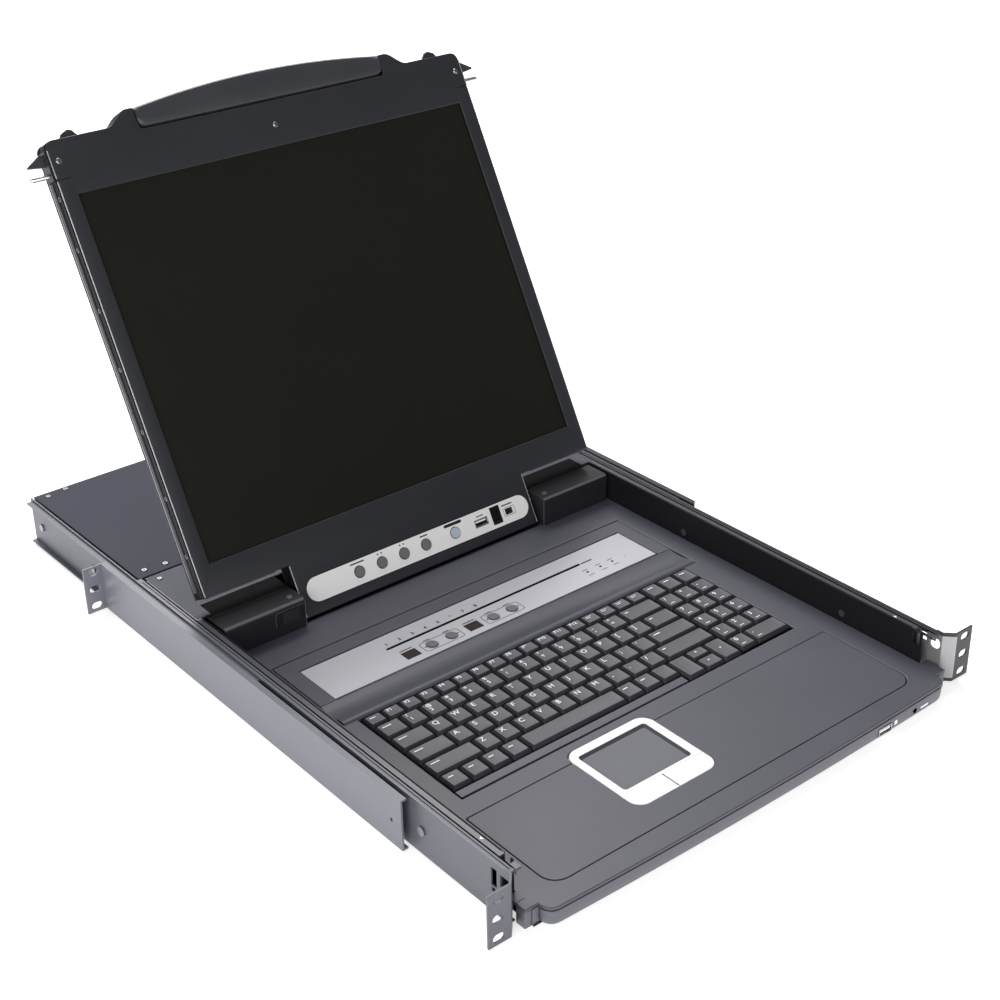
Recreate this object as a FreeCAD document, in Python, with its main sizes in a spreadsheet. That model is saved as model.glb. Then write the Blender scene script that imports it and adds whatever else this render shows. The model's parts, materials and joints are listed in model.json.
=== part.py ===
import FreeCAD, Part
import math
import os
import re
import Sketcher

# One-rack-unit drawer with a folding 19-inch screen, a keyboard, a touchpad and an eight-port
# switch chassis behind it.
# Frame: millimetres.  The origin is the centre of the front rack-ear slot pattern, on the front
# face of the ears.  +X to the right, +Y towards the back of the rack, +Z up.
# Lid parts are drawn flat in lid coordinates: x across, y up the lid from the hinge axis, z
# towards the person at the keyboard.  LID_OPEN stands them up at the open angle.

doc = FreeCAD.newDocument("kvm_drawer")
sheet = doc.addObject("Spreadsheet::Sheet", "Sizes")

DRIVING = {
    # rack ears and outer rails
    "ear_slot_span": 465.1, "ear_slot_rise": 31.75, "ear_slot_length": 9.5,
    "ear_slot_height": 6.5, "ear_half": 241.0, "ear_root": 222.0, "ear_gauge": 1.5,
    "ear_top": 21.9, "base_level": -21.5, "bend_depth": 8.3,
    "rail_outer": 216.0, "rail_gauge": 1.2, "rail_height_half": 21.2, "rail_flange": 4.0,
    "rail_flange_front": 10.0, "rail_flange_rear": 486.0, "rail_rear": 675.0,
    "catch_slot_front": 21.8, "catch_slot_rear": 27.5, "catch_slot_low": 0.8,
    "catch_slot_high": 15.2, "catch_window_front": 6.9, "catch_window_rear": 18.5,
    "catch_window_low": 5.0, "catch_window_high": 14.4,
    # rear mounting brackets and the guides they slide on
    "bracket_outer": 224.5, "bracket_gauge": 1.5, "bracket_lip": 3.5, "bracket_top": 21.0,
    "bracket_front_left": 113.0, "bracket_front_right": 285.0, "bracket_rear": 531.0,
    "bracket_ear_half": 241.3, "guide_outer": 221.5, "guide_gauge": 1.2,
    "guide_height_half": 19.3, "guide_front": 300.0, "guide_rear": 672.0,
    # switch chassis
    "chassis_half": 212.6, "chassis_front": 487.0, "chassis_rear": 675.0, "sheet_gauge": 1.2,
    "case_top": 21.0, "port_pitch": 33.0, "port_first": -84.0, "port_level": 0.0,
    "port_half": 12.0, "port_half_high": 5.8, "port_wall": 0.8, "port_body_front": 655.0,
    "port_flange_half": 15.4, "port_flange_half_high": 8.0, "port_flange_gauge": 1.5,
    "inlet_centre": -160.0, "inlet_half": 13.7, "inlet_half_high": 10.0, "inlet_front": 650.0,
    "inlet_wall": 2.0, "inlet_flange": 3.3, "inlet_pin_pitch": 7.0, "inlet_pin_half": 2.0,
    "vent_front": 540.0, "vent_rear": 620.0, "cover_lip_low": 12.0,
    # electronics of the chassis
    "card_left": -105.0, "card_right": 205.0, "card_front": 505.0, "card_rear": 655.0,
    "card_bottom": -15.5, "card_gauge": 1.6, "card_margin": 10.0, "post_radius": 3.0,
    "chip_side": 24.0, "chip_high": 2.4, "chip_pitch": 62.0, "chip_first": -70.0,
    "chip_front": 560.0, "supply_left": -205.0, "supply_right": -120.0,
    "supply_front": 520.0, "supply_rear": 640.0, "supply_top": 14.0, "supply_vent_pitch": 16.0,
    # console drawer
    "tray_half": 205.2, "wall_gauge": 1.0, "tray_front": -2.0, "wall_front": 18.5,
    "tray_rear": 484.4, "cover_front": 402.3, "tongue_clear_front": 419.0,
    "cover_half": 208.7, "cover_strip_inner": 196.0, "inner_rail_half": 210.0,
    "inner_rail_shoulder": 214.2, "shoulder_level": 18.6, "inner_rail_rear": 480.0,
    "pin_notch_low": 9.0, "deck_top": -5.5, "deck_sheet": 2.5, "deck_rear": 378.5,
    "deck_front": -9.0, "deck_half": 204.0, "nose_half": 200.0, "nose_front": -14.8,
    "nose_end_front": -11.5, "nose_corner": 8.0, "side_block_half": 211.3,
    "side_block_rear": 9.0, "rail_nose_rear": 16.4, "rail_gap_rear": 26.6,
    "rail_body_front": 30.0, "rail_nose_gauge": 0.9, "groove_half": 182.0,
    "groove_front": 6.0, "groove_rear": 96.4, "groove_radius": 13.6, "groove_width": 0.8,
    "deck_post_line": 192.0, "deck_post_radius": 4.0, "mouse_socket_line": 126.5,
    "mouse_socket_half": 7.3, "mouse_socket_level": -15.9, "mouse_socket_half_high": 3.3,
    "reset_hole_line": 162.0, "reset_hole_level": -15.2, "reset_hole_radius": 1.2,
    # keyboard
    "well_left": -170.8, "well_right": 168.5, "well_front": 115.2, "well_rear": 239.2,
    "keys_left": -169.2, "keys_right": 111.8, "key_pitch": 18.35, "key_row_pitch": 19.45,
    "key_row_depth": 18.6, "key_front": 127.0, "function_depth": 13.4, "key_gap": 1.0,
    "key_top": -3.8, "key_shoulder": -6.0, "key_bottom": -8.8, "key_bevel": 2.3,
    "keypad_left": 113.2, "keypad_pitch": 18.3, "keypad_front": 119.4,
    "keypad_row_pitch": 20.0, "arrow_front": 117.5, "arrow_split": 133.0, "arrow_rear": 145.0,
    "base_plate_top": -11.0, "trim_right": 51.0, "trim_rear": 124.3,
    # control panel
    "panel_half": 182.0, "panel_front": 249.0, "panel_rear": 338.0, "plate_half": 167.4,
    "plate_front": 274.0, "plate_rear": 321.5, "recess_front": 264.0, "plate_top": -5.9,
    "recess_floor": -7.0, "panel_button_line": 286.0, "panel_button_radius": 4.4,
    "slit_left": -98.0, "slit_right": 106.0, "slit_line": 303.4, "slit_width": 3.0,
    "window_wide": 14.0, "window_deep": 11.0, "lamp_line": 289.2, "lamp_hole_radius": 1.3,
    "console_card_left": -110.0, "console_card_right": 150.0, "console_card_front": 262.0,
    "console_card_rear": 334.0, "console_card_bottom": -16.4, "panel_button_foot": -13.2,
    # touchpad
    "pad_left": -85.0, "pad_right": -5.3, "pad_front": 27.8, "pad_rear": 107.0,
    "pad_open_left": -78.4, "pad_open_right": -12.6, "pad_open_front": 48.5,
    "pad_open_rear": 99.2, "pad_corner": 11.0, "pad_split": -45.5, "pad_button_rear": 45.8,
    # hinge and lid
    "hinge_back": 395.0, "hinge_level": 12.5, "hinge_cover_inner": 126.0,
    "hinge_cover_outer": 194.0, "hinge_cover_front": 373.3, "hinge_cover_rear": 404.0,
    "shaft_radius": 4.0, "shaft_clearance": 0.05, "shaft_inner": 104.0, "shaft_outer": 145.0,
    "lid_half": 200.7, "shell_half": 202.5, "lid_face": 8.3, "lid_back": -8.2,
    "lid_foot": 24.2, "lid_top": 396.7, "tongue_half": 122.6, "tongue_foot": -21.3,
    "bezel_sheet": 2.0, "shell_sheet": 1.5, "screen_half": 187.4, "screen_foot": 48.8,
    "screen_top": 352.1, "shoulder_outer": 141.0, "shoulder_inner": 130.0,
    "shoulder_top": 408.2, "handle_half": 118.8, "handle_foot": 390.7, "handle_arch": 8.7,
    "lid_corner": 6.0, "catch_line": 371.0, "catch_depth": 0.3, "catch_pin_radius": 1.9,
    "catch_tip": 219.0, "catch_tab_tip": 217.0, "catch_root": 196.0, "catch_inner": 168.0,
    "catch_low": 366.0, "catch_high": 387.0, "catch_slab_back": -1.2, "catch_slab_face": 1.8,
    "thumb_inner": 169.5, "thumb_outer": 183.0, "thumb_top": 403.5,
    # strip of screen controls on the lid
    "strip_left": -114.8, "strip_right": 118.7, "strip_line": -1.9, "strip_high": 20.5,
    "strip_recess": 0.8, "screen_button_radius": 4.5, "screen_button_first": -63.0,
    "screen_button_pitch": 23.03, "power_button_line": 37.4, "screen_button_foot": 1.9,
    "usb_centre": 66.3, "usb_half": 7.1, "usb_low": -5.4, "usb_top": 1.0, "socket_wall": 0.7,
    "jack_centre": 83.2, "jack_half": 5.0, "jack_low": -8.9, "jack_top": 6.5, "jack_wall": 1.0,
    "switch_slot_left": 93.2, "switch_slot_right": 101.4, "switch_low": -4.6,
    "switch_top": 0.8,
}

for row, (alias, number) in enumerate(DRIVING.items(), 1):
    sheet.set(f"A{row}", alias)
    sheet.set(f"B{row}", str(number))
    sheet.setAlias(f"B{row}", alias)
doc.recompute()

OPEN_ANGLE = 118.75
LID_OPEN = FreeCAD.Placement(
    FreeCAD.Vector(0, DRIVING["hinge_back"], DRIVING["hinge_level"]),
    FreeCAD.Rotation(FreeCAD.Vector(1, 0, 0), 180 - OPEN_ANGLE),
)
SIDES = {"left": -1, "right": 1}
nodes = {}


# ---- helpers -------------------------------------------------------------------------------

def sized(text):
    """An expression written in plain size names, pointed at the sheet."""
    return re.sub(r"[a-z][a-z_]+", lambda word: "Sizes." + word.group(0), str(text))


def size(text):
    """The number an expression stands for."""
    return float(sheet.evalExpression(sized(text)))


def across(side, low, high):
    """A span in X given for the right side, mirrored when the side is the left one."""
    if side > 0:
        return (low, high)
    return (f"-({high})", f"-({low})")


def place(solid, corner):
    for axis, text in zip("xyz", corner):
        solid.setExpression("Placement.Base." + axis, sized(text))


def block(name, x, y, z):
    """Box between a low and a high expression along each axis."""
    solid = doc.addObject("Part::Box", name)
    place(solid, (x[0], y[0], z[0]))
    for side, (low, high) in zip(("Length", "Width", "Height"), (x, y, z)):
        solid.setExpression(side, sized(f"({high}) - ({low})"))
    return solid


TURN_ALONG = {
    "x": FreeCAD.Rotation(FreeCAD.Vector(0, 1, 0), 90),
    "y": FreeCAD.Rotation(FreeCAD.Vector(1, 0, 0), -90),
    "z": FreeCAD.Rotation(),
}


def rod(name, start, radius, length, along):
    """Cylinder from its start point, running along +X, +Y or +Z."""
    solid = doc.addObject("Part::Cylinder", name)
    solid.Placement = FreeCAD.Placement(FreeCAD.Vector(), TURN_ALONG[along])
    place(solid, start)
    solid.setExpression("Radius", sized(radius))
    solid.setExpression("Height", sized(length))
    return solid


def cone(name, start, radius_low, radius_high, length, along):
    """Cone frustum from its start point."""
    solid = doc.addObject("Part::Cone", name)
    solid.Placement = FreeCAD.Placement(FreeCAD.Vector(), TURN_ALONG[along])
    place(solid, start)
    solid.setExpression("Radius1", sized(radius_low))
    solid.setExpression("Radius2", sized(radius_high))
    solid.setExpression("Height", sized(length))
    return solid


def fuse(name, parts):
    joined = doc.addObject("Part::MultiFuse", name)
    joined.Shapes = parts
    return joined


def cut(name, base, tools):
    result = doc.addObject("Part::Cut", name)
    result.Base = base
    result.Tool = tools[0] if len(tools) == 1 else fuse(name + "_room", tools)
    return result


def group(name, parts):
    """Several identical or related separate solids kept in one node."""
    gathered = doc.addObject("Part::Compound", name)
    gathered.Links = parts
    return gathered


def outline(name, points, low, high, plane="XY_Plane"):
    """PartDesign body: a closed sketch padded from low to high along the plane's normal.

    Each point is (x, y) or (x, y, radius); a radius makes the edge to the next point an arc
    that bulges outward when the points run anticlockwise."""
    body = doc.addObject("PartDesign::Body", name + "_body")
    sketch = body.newObject("Sketcher::SketchObject", name + "_sketch")
    support = [item for item in body.Origin.OriginFeatures if item.Role == plane][0]
    sketch.AttachmentSupport = [(support, "")]
    sketch.MapMode = "FlatFace"
    sketch.setExpression("AttachmentOffset.Base.z", sized(low))
    corners = [FreeCAD.Vector(size(point[0]), size(point[1]), 0) for point in points]
    starts = []
    for index, point in enumerate(points):
        begin = corners[index]
        end = corners[(index + 1) % len(points)]
        if len(point) == 2:
            sketch.addGeometry(Part.LineSegment(begin, end), False)
            starts.append(1)
            continue
        radius = size(point[2])
        half = (end - begin).Length / 2
        bulge = radius - math.sqrt(max(radius * radius - half * half, 0.0))
        outward = FreeCAD.Vector(end.y - begin.y, begin.x - end.x, 0).normalize()
        sketch.addGeometry(Part.Arc(begin, (begin + end) * 0.5 + outward * bulge, end), False)
        at_start = (sketch.Geometry[index].StartPoint - begin).Length < 1e-6
        starts.append(1 if at_start else 2)
    for index in range(len(points)):
        follower = (index + 1) % len(points)
        sketch.addConstraint(Sketcher.Constraint(
            "Coincident", index, 3 - starts[index], follower, starts[follower]))
    for index, point in enumerate(points):
        for kind, text, number in (("DistanceX", point[0], corners[index].x),
                                   ("DistanceY", point[1], corners[index].y)):
            row = sketch.addConstraint(
                Sketcher.Constraint(kind, -1, 1, index, starts[index], number))
            sketch.setExpression(f"Constraints[{row}]", sized(text))
        if len(point) == 3:
            row = sketch.addConstraint(Sketcher.Constraint("Radius", index, size(point[2])))
            sketch.setExpression(f"Constraints[{row}]", sized(point[2]))
    pad = body.newObject("PartDesign::Pad", name + "_pad")
    pad.Profile = sketch
    pad.setExpression("Length", sized(f"({high}) - ({low})"))
    return body


def rounded(name, x, y, z, radius):
    """Plate with rounded corners, flat in XY."""
    (left, right), (front, rear) = x, y
    return outline(name, [
        (f"{left} + {radius}", front), (f"{right} - {radius}", front, radius),
        (right, f"{front} + {radius}"), (right, f"{rear} - {radius}", radius),
        (f"{right} - {radius}", rear), (f"{left} + {radius}", rear, radius),
        (left, f"{rear} - {radius}"), (left, f"{front} + {radius}", radius),
    ], z[0], z[1])


def node(name, solid, placement=None):
    """Register a finished sub-part under the name of its file."""
    if placement is not None:
        if solid.TypeId in ("Part::Box", "Part::Cylinder"):
            solid = group(name + "_stood_up", [solid])
        solid.Placement = placement
    solid.Label = name
    nodes[name] = solid


def flat_screw(name, x, y, z, radius="3"):
    """Low round screw head with a cross recess, standing on a surface that faces +Z."""
    head = cone(name + "_head", (x, y, z), radius, f"{radius} * 0.7", "0.9", "z")
    bar = ("-1.6", "1.6")
    slot = ("-0.35", "0.35")
    tools = []
    for label, (wide, deep) in (("a", (bar, slot)), ("b", (slot, bar))):
        tools.append(block(
            f"{name}_{label}",
            (f"{x} + {wide[0]}", f"{x} + {wide[1]}"),
            (f"{y} + {deep[0]}", f"{y} + {deep[1]}"),
            (f"{z} + 0.4", f"{z} + 1.2")))
    return cut(name, head, tools)


# ---- rails, ears and brackets --------------------------------------------------------------

def ear_slots(name, side, front, rear, levels):
    """Rounded horizontal slots of one ear, as tools."""
    tools = []
    centre = across(side, "ear_slot_span / 2", "ear_slot_span / 2")[0]
    straight = "(ear_slot_length - ear_slot_height) / 2"
    for index, level in enumerate(levels):
        tools.append(block(
            f"{name}_slot_{index}",
            (f"{centre} - {straight}", f"{centre} + {straight}"),
            (f"{front} - 1", f"{rear} + 1"),
            (f"{level} - ear_slot_height / 2", f"{level} + ear_slot_height / 2")))
        for end in ("-", "+"):
            label = "low" if end == "-" else "high"
            tools.append(rod(
                f"{name}_slot_{index}_{label}",
                (f"{centre} {end} {straight}", f"{front} - 1", level),
                "ear_slot_height / 2", f"{rear} - ({front}) + 2", "y"))
    return tools


LEVELS = ("-ear_slot_rise / 2", "0", "ear_slot_rise / 2")


def outer_rail(label, side):
    """Fixed C-rail with the front rack ear bent out of its web."""
    name = "outer_rail_" + label
    web_in = "rail_outer - rail_gauge"
    right = [
        ("ear_half", "0"), ("ear_half", "ear_gauge"), ("ear_root + ear_gauge / 2", "ear_gauge"),
        ("rail_outer", "bend_depth"), ("rail_outer", "rail_flange_front + 4"),
        (web_in, "rail_flange_front + 4"), (web_in, "bend_depth - rail_gauge / 2"),
        ("ear_root", "0"),
    ]
    points = [(across(side, x, x)[0], y) for x, y in right]
    if side < 0:
        points.reverse()
    ear = outline(name + "_ear", points, "base_level", "ear_top")
    web = block(name + "_web", across(side, web_in, "rail_outer"),
                ("bend_depth", "rail_rear"), ("-rail_height_half", "rail_height_half"))
    flanges = []
    for level, z in (("low", ("-rail_height_half", "-rail_height_half + rail_gauge")),
                     ("high", ("rail_height_half - rail_gauge", "rail_height_half"))):
        flanges.append(block(
            f"{name}_{level}_flange", across(side, f"{web_in} - rail_flange", "rail_outer"),
            ("rail_flange_front", "rail_flange_rear"), z))
    through = across(side, "rail_outer - 3", "rail_outer + 3")
    slot = block(name + "_catch_slot", through,
                 ("catch_slot_front", "catch_slot_rear"), ("catch_slot_low", "catch_slot_high"))
    window = block(name + "_catch_window", through,
                   ("catch_window_front", "catch_window_rear"),
                   ("catch_window_low", "catch_window_high"))
    square = block(name + "_square_hole", through, ("23.5", "27"), ("-4", "-0.6"))
    tools = [slot, window, square]
    tools += ear_slots(name, side, "0", "ear_gauge", LEVELS)
    node(name, cut(name, fuse(name + "_blank", [ear, web] + flanges), tools))


def rear_bracket(label, side):
    """C-shaped rear bracket that slides on the guide and carries the rear ear."""
    name = "rear_bracket_" + label
    front = "bracket_front_" + label
    inner = "bracket_outer - bracket_gauge"
    span = (front, "bracket_rear")
    parts = [block(name + "_web", across(side, inner, "bracket_outer"), span,
                   ("base_level", "bracket_top"))]
    for level, z in (("low", ("base_level", "base_level + bracket_gauge")),
                     ("high", ("bracket_top - bracket_gauge", "bracket_top"))):
        parts.append(block(f"{name}_{level}_lip", across(side, f"{inner} - bracket_lip", inner),
                           span, z))
    rear = ("bracket_rear - bracket_gauge", "bracket_rear")
    parts.append(block(name + "_ear", across(side, inner, "bracket_ear_half"), rear,
                       ("base_level", "bracket_top")))
    hole = rod(name + "_hole", (across(side, "bracket_outer - 3", "bracket_outer + 3")[0],
                                f"{front} + 11.7", "-1.2"), "1.6", "6", "x")
    tools = [hole] + ear_slots(name, side, rear[0], rear[1], LEVELS)
    node(name, cut(name, fuse(name + "_blank", parts), tools))


def bracket_guide(label, side):
    """Outward C-channel riveted to the rail; the rear bracket runs on it."""
    name = "bracket_guide_" + label
    span = ("guide_front", "guide_rear")
    outer_web = "rail_outer + guide_gauge"
    parts = [block(name + "_web", across(side, "rail_outer", outer_web), span,
                   ("-guide_height_half", "guide_height_half"))]
    for level, z in (("low", ("-guide_height_half", "-guide_height_half + guide_gauge")),
                     ("high", ("guide_height_half - guide_gauge", "guide_height_half"))):
        parts.append(block(f"{name}_{level}_lip", across(side, outer_web, "guide_outer"),
                           span, z))
    node(name, fuse(name, parts))


# ---- switch chassis ------------------------------------------------------------------------

PORT_COUNT = 8


def port_centre(index):
    return f"port_first + {index} * port_pitch"


def chassis_base():
    """Open-topped steel box that holds the switch electronics."""
    name = "chassis_base"
    inner = "chassis_half - sheet_gauge"
    outer = block(name + "_outer", ("-chassis_half", "chassis_half"),
                  ("chassis_front", "chassis_rear"), ("base_level", "case_top - sheet_gauge"))
    room = block(name + "_room", (f"-({inner})", inner),
                 ("chassis_front + sheet_gauge", "chassis_rear - sheet_gauge"),
                 ("base_level + sheet_gauge", "case_top"))
    rear = ("chassis_rear - sheet_gauge - 1", "chassis_rear + 1")
    tools = [room]
    for index in range(PORT_COUNT + 1):
        centre = port_centre(index)
        tools.append(block(f"{name}_port_{index}",
                           (f"{centre} - port_half - 0.5", f"{centre} + port_half + 0.5"), rear,
                           ("port_level - port_half_high - 0.5",
                            "port_level + port_half_high + 0.5")))
    tools.append(block(name + "_inlet",
                       ("inlet_centre - inlet_half - 0.3", "inlet_centre + inlet_half + 0.3"),
                       rear, ("-inlet_half_high - 0.3", "inlet_half_high + 0.3")))
    for side in SIDES.values():
        tools.append(block(f"{name}_vent_{side}",
                           across(side, "chassis_half - 3", "chassis_half + 3"),
                           ("vent_front", "vent_rear"), ("-2", "2")))
    node(name, cut(name, outer, tools))


def chassis_cover():
    """Flat top cover of the chassis."""
    plate = block("chassis_cover_plate", ("-chassis_half", "chassis_half"),
                  ("chassis_front", "chassis_rear"), ("case_top - sheet_gauge", "case_top"))
    lip = block("chassis_cover_lip", ("-chassis_half + 8", "chassis_half - 8"),
                ("chassis_front + 1.5", "chassis_front + 1.5 + sheet_gauge"),
                ("cover_lip_low", "case_top - sheet_gauge"))
    node("chassis_cover", fuse("chassis_cover", [plate, lip]))


def board_on_posts(name, x, y, bottom, posts_x, posts_y):
    """Circuit card standing on round posts; the posts start on the sheet floor below it."""
    floor = "base_level + sheet_gauge"
    parts = [block(name + "_card", x, y, (bottom, f"{bottom} + card_gauge"))]
    for column, across_at in enumerate(posts_x):
        for line, along_at in enumerate(posts_y):
            parts.append(rod(f"{name}_post_{column}_{line}", (across_at, along_at, floor),
                             "post_radius", f"{bottom} - ({floor})", "z"))
    return parts


def kvm_board():
    """Switching circuit board on its stand-offs, with the main chips."""
    parts = board_on_posts(
        "kvm_board", ("card_left", "card_right"), ("card_front", "card_rear"), "card_bottom",
        ("card_left + card_margin", "(card_left + card_right) / 2", "card_right - card_margin"),
        ("card_front + card_margin", "card_rear - card_margin"))
    top = "card_bottom + card_gauge"
    for column in range(4):
        left = f"chip_first + {column} * chip_pitch"
        parts.append(block(f"kvm_board_chip_{column}", (left, f"{left} + chip_side"),
                           ("chip_front", "chip_front + chip_side"),
                           (top, f"{top} + chip_high")))
    node("kvm_board", fuse("kvm_board", parts))


def power_supply():
    """Caged mains supply beside the board."""
    shell = block("power_supply_case", ("supply_left", "supply_right"),
                  ("supply_front", "supply_rear"), ("base_level + sheet_gauge", "supply_top"))
    vents = []
    for row in range(6):
        front = f"supply_front + 15 + {row} * supply_vent_pitch"
        vents.append(block(f"power_supply_vent_{row}", ("supply_left + 7", "supply_right - 7"),
                           (front, f"{front} + 5"), ("supply_top - 3", "supply_top + 1")))
    node("power_supply", cut("power_supply", shell, vents))


def power_inlet():
    """Three-pin appliance inlet in the rear wall."""
    def wide(grow):
        return (f"inlet_centre - inlet_half - {grow}", f"inlet_centre + inlet_half + {grow}")

    def high(grow):
        return (f"-inlet_half_high - {grow}", f"inlet_half_high + {grow}")

    wall_in = "chassis_rear - sheet_gauge"
    body = block("power_inlet_body", wide("0"), ("inlet_front", "chassis_rear"), high("0"))
    flange = block("power_inlet_flange", wide("inlet_flange"),
                   (f"{wall_in} - inlet_wall", wall_in), high("inlet_flange - 0.3"))
    mouth = block("power_inlet_mouth", wide("(-inlet_wall)"),
                  ("chassis_rear - 16", "chassis_rear + 1"), high("(-inlet_wall)"))
    pins = []
    for index, level in enumerate((-2, 2, -2)):
        x = f"inlet_centre + ({index} - 1) * inlet_pin_pitch"
        pins.append(block(f"power_inlet_pin_{index}",
                          (f"{x} - inlet_pin_half", f"{x} + inlet_pin_half"),
                          ("inlet_front + 5", "chassis_rear - 3"),
                          (f"{level} - inlet_pin_half / 2", f"{level} + inlet_pin_half / 2")))
    shell = cut("power_inlet_shell", fuse("power_inlet_blank", [body, flange]), [mouth])
    node("power_inlet", fuse("power_inlet", [shell] + pins))


def computer_ports():
    """Eight computer sockets and one chain socket: shells round a plain mouth."""
    wall_in = "chassis_rear - sheet_gauge"
    sockets = []
    for index in range(PORT_COUNT + 1):
        centre = port_centre(index)
        name = f"computer_port_{index}"
        wide = (f"{centre} - port_half", f"{centre} + port_half")
        flange = block(name + "_flange",
                       (f"{centre} - port_flange_half", f"{centre} + port_flange_half"),
                       (f"{wall_in} - port_flange_gauge", wall_in),
                       ("port_level - port_flange_half_high", "port_level + port_flange_half_high"))
        body = block(name + "_body", wide, ("port_body_front", f"{wall_in} - port_flange_gauge"),
                     ("card_bottom + card_gauge", "port_level + port_flange_half_high - 1"))
        shell = block(name + "_shell", wide, (wall_in, "chassis_rear"),
                      ("port_level - port_half_high", "port_level + port_half_high"))
        mouth = block(name + "_mouth", (f"{wide[0]} + port_wall", f"{wide[1]} - port_wall"),
                      ("chassis_rear - 9", "chassis_rear + 1"),
                      ("port_level - port_half_high + port_wall",
                       "port_level + port_half_high - port_wall"))
        sockets.append(cut(name, fuse(name + "_blank", [flange, body, shell]), [mouth]))
    node("computer_ports", group("computer_ports", sockets))


COVER_SCREW_SPOTS = (("202.3", "496.3"), ("183.5", "494.5"), ("202.6", "667"), ("184.2", "669.8"))
GUIDE_SCREW_LINES = ("560", "655")
RAIL_SCREW_SPOT = ("101", "-0.8")


def side_screw(name, side, surface, y, z, radius, height):
    """Plain round screw head standing out sideways from a surface at a distance in X."""
    start = surface if side > 0 else f"-({surface}) - {height}"
    return rod(name, (start, y, z), radius, height, "x")


def chassis_screws():
    """Cover screws, side screws through rail and guide, and each rail's front screw."""
    screws = []
    for label, side in SIDES.items():
        for index, (x, y) in enumerate(COVER_SCREW_SPOTS):
            screws.append(flat_screw(f"cover_screw_{label}_{index}", across(side, x, x)[0], y,
                                     "case_top"))
        for index, y in enumerate(GUIDE_SCREW_LINES):
            screws.append(side_screw(f"side_screw_{label}_{index}", side,
                                     "rail_outer + guide_gauge", y, "0", "3.4", "1.5"))
        screws.append(side_screw("rail_screw_" + label, side, "rail_outer",
                                 RAIL_SCREW_SPOT[0], RAIL_SCREW_SPOT[1], "3.6", "1.6"))
    node("chassis_screws", group("chassis_screws", screws))


# ---- console drawer ------------------------------------------------------------------------

def console_tray():
    """Steel pan of the drawer; its walls are notched for the lid's catch pins."""
    name = "console_tray"
    inner = "tray_half - wall_gauge"
    floor_top = "base_level + sheet_gauge"
    parts = [block(name + "_floor", ("-tray_half", "tray_half"), ("tray_front", "tray_rear"),
                   ("base_level", floor_top))]
    tools = []
    for label, side in SIDES.items():
        parts.append(block(f"{name}_wall_{label}", across(side, inner, "tray_half"),
                           ("wall_front", "tray_rear"), (floor_top, "case_top - sheet_gauge")))
        parts.append(block(f"{name}_rim_{label}", across(side, inner, "tray_half"),
                           ("wall_front", "cover_front"), ("case_top - sheet_gauge", "case_top")))
        tools.append(block(f"{name}_notch_{label}",
                           across(side, "tray_half - 3", "tray_half + 1"),
                           ("catch_slot_front - 1", "catch_slot_rear"),
                           ("pin_notch_low", "case_top + 1")))
    parts.append(block(name + "_rear", (f"-({inner})", inner),
                       ("tray_rear - wall_gauge", "tray_rear"), (floor_top, "case_top - sheet_gauge")))
    node(name, cut(name, fuse(name + "_blank", parts), tools))


def inner_rail(label, side):
    """Moving rail: top flange level with the tray rim, shoulders running inside the C-rail."""
    name = "inner_rail_" + label
    leg = "inner_rail_half - rail_gauge"
    outer_leg = "inner_rail_shoulder - rail_gauge"
    run = ("rail_body_front", "inner_rail_rear")
    parts = [
        block(name + "_top", across(side, "tray_half", "inner_rail_half"),
              ("rail_flange_front", "cover_front - 0.3"), ("case_top - rail_gauge", "case_top")),
        block(name + "_leg", across(side, leg, "inner_rail_half"), run,
              ("shoulder_level - rail_gauge", "case_top")),
        block(name + "_shoulder", across(side, leg, "inner_rail_shoulder"), run,
              ("shoulder_level - rail_gauge", "shoulder_level")),
        block(name + "_outer_leg", across(side, outer_leg, "inner_rail_shoulder"), run,
              ("-shoulder_level", "shoulder_level")),
        block(name + "_foot", across(side, "tray_half", "inner_rail_shoulder"), run,
              ("-shoulder_level", "-shoulder_level + rail_gauge")),
    ]
    nose = ("rail_flange_front", "rail_nose_rear")
    nose_side = across(side, "inner_rail_half - rail_nose_gauge", "inner_rail_half")
    notch = block(name + "_notch", across(side, "tray_half - 1", "inner_rail_half + 1"),
                  ("rail_nose_rear", "rail_gap_rear"), ("case_top - 3", "case_top + 1"))
    nose_leg = block(name + "_nose_leg", across(side, "tray_half", "tray_half + rail_gauge"),
                     ("wall_front + 10", "rail_body_front"),
                     ("-shoulder_level", "case_top - rail_gauge"))
    tip = block(name + "_tip", across(side, "tray_half", "inner_rail_half"), nose,
                ("case_top - 2 * rail_gauge", "case_top"))
    bridge = block(name + "_bridge", nose_side, ("rail_flange_front", "rail_body_front"),
                   ("case_top - 5", "case_top - 3"))
    hanger = block(name + "_hanger", nose_side, nose, ("case_top - 5", "case_top"))
    blank = fuse(name + "_blank", parts + [nose_leg, tip])
    node(name, fuse(name, [cut(name + "_cut", blank, [notch]), bridge, hanger]))


def rear_cover():
    """Cover over the rear of the drawer, cut back in the middle for the lid's tongue."""
    strip = ("case_top - sheet_gauge", "case_top")
    parts = [block("rear_cover_plate", ("-cover_half", "cover_half"),
                   ("tongue_clear_front", "tray_rear"), strip)]
    for label, side in SIDES.items():
        parts.append(block("rear_cover_strip_" + label,
                           across(side, "cover_strip_inner", "cover_half"),
                           ("cover_front", "tongue_clear_front"), strip))
    node("rear_cover", fuse("rear_cover", parts))


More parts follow.
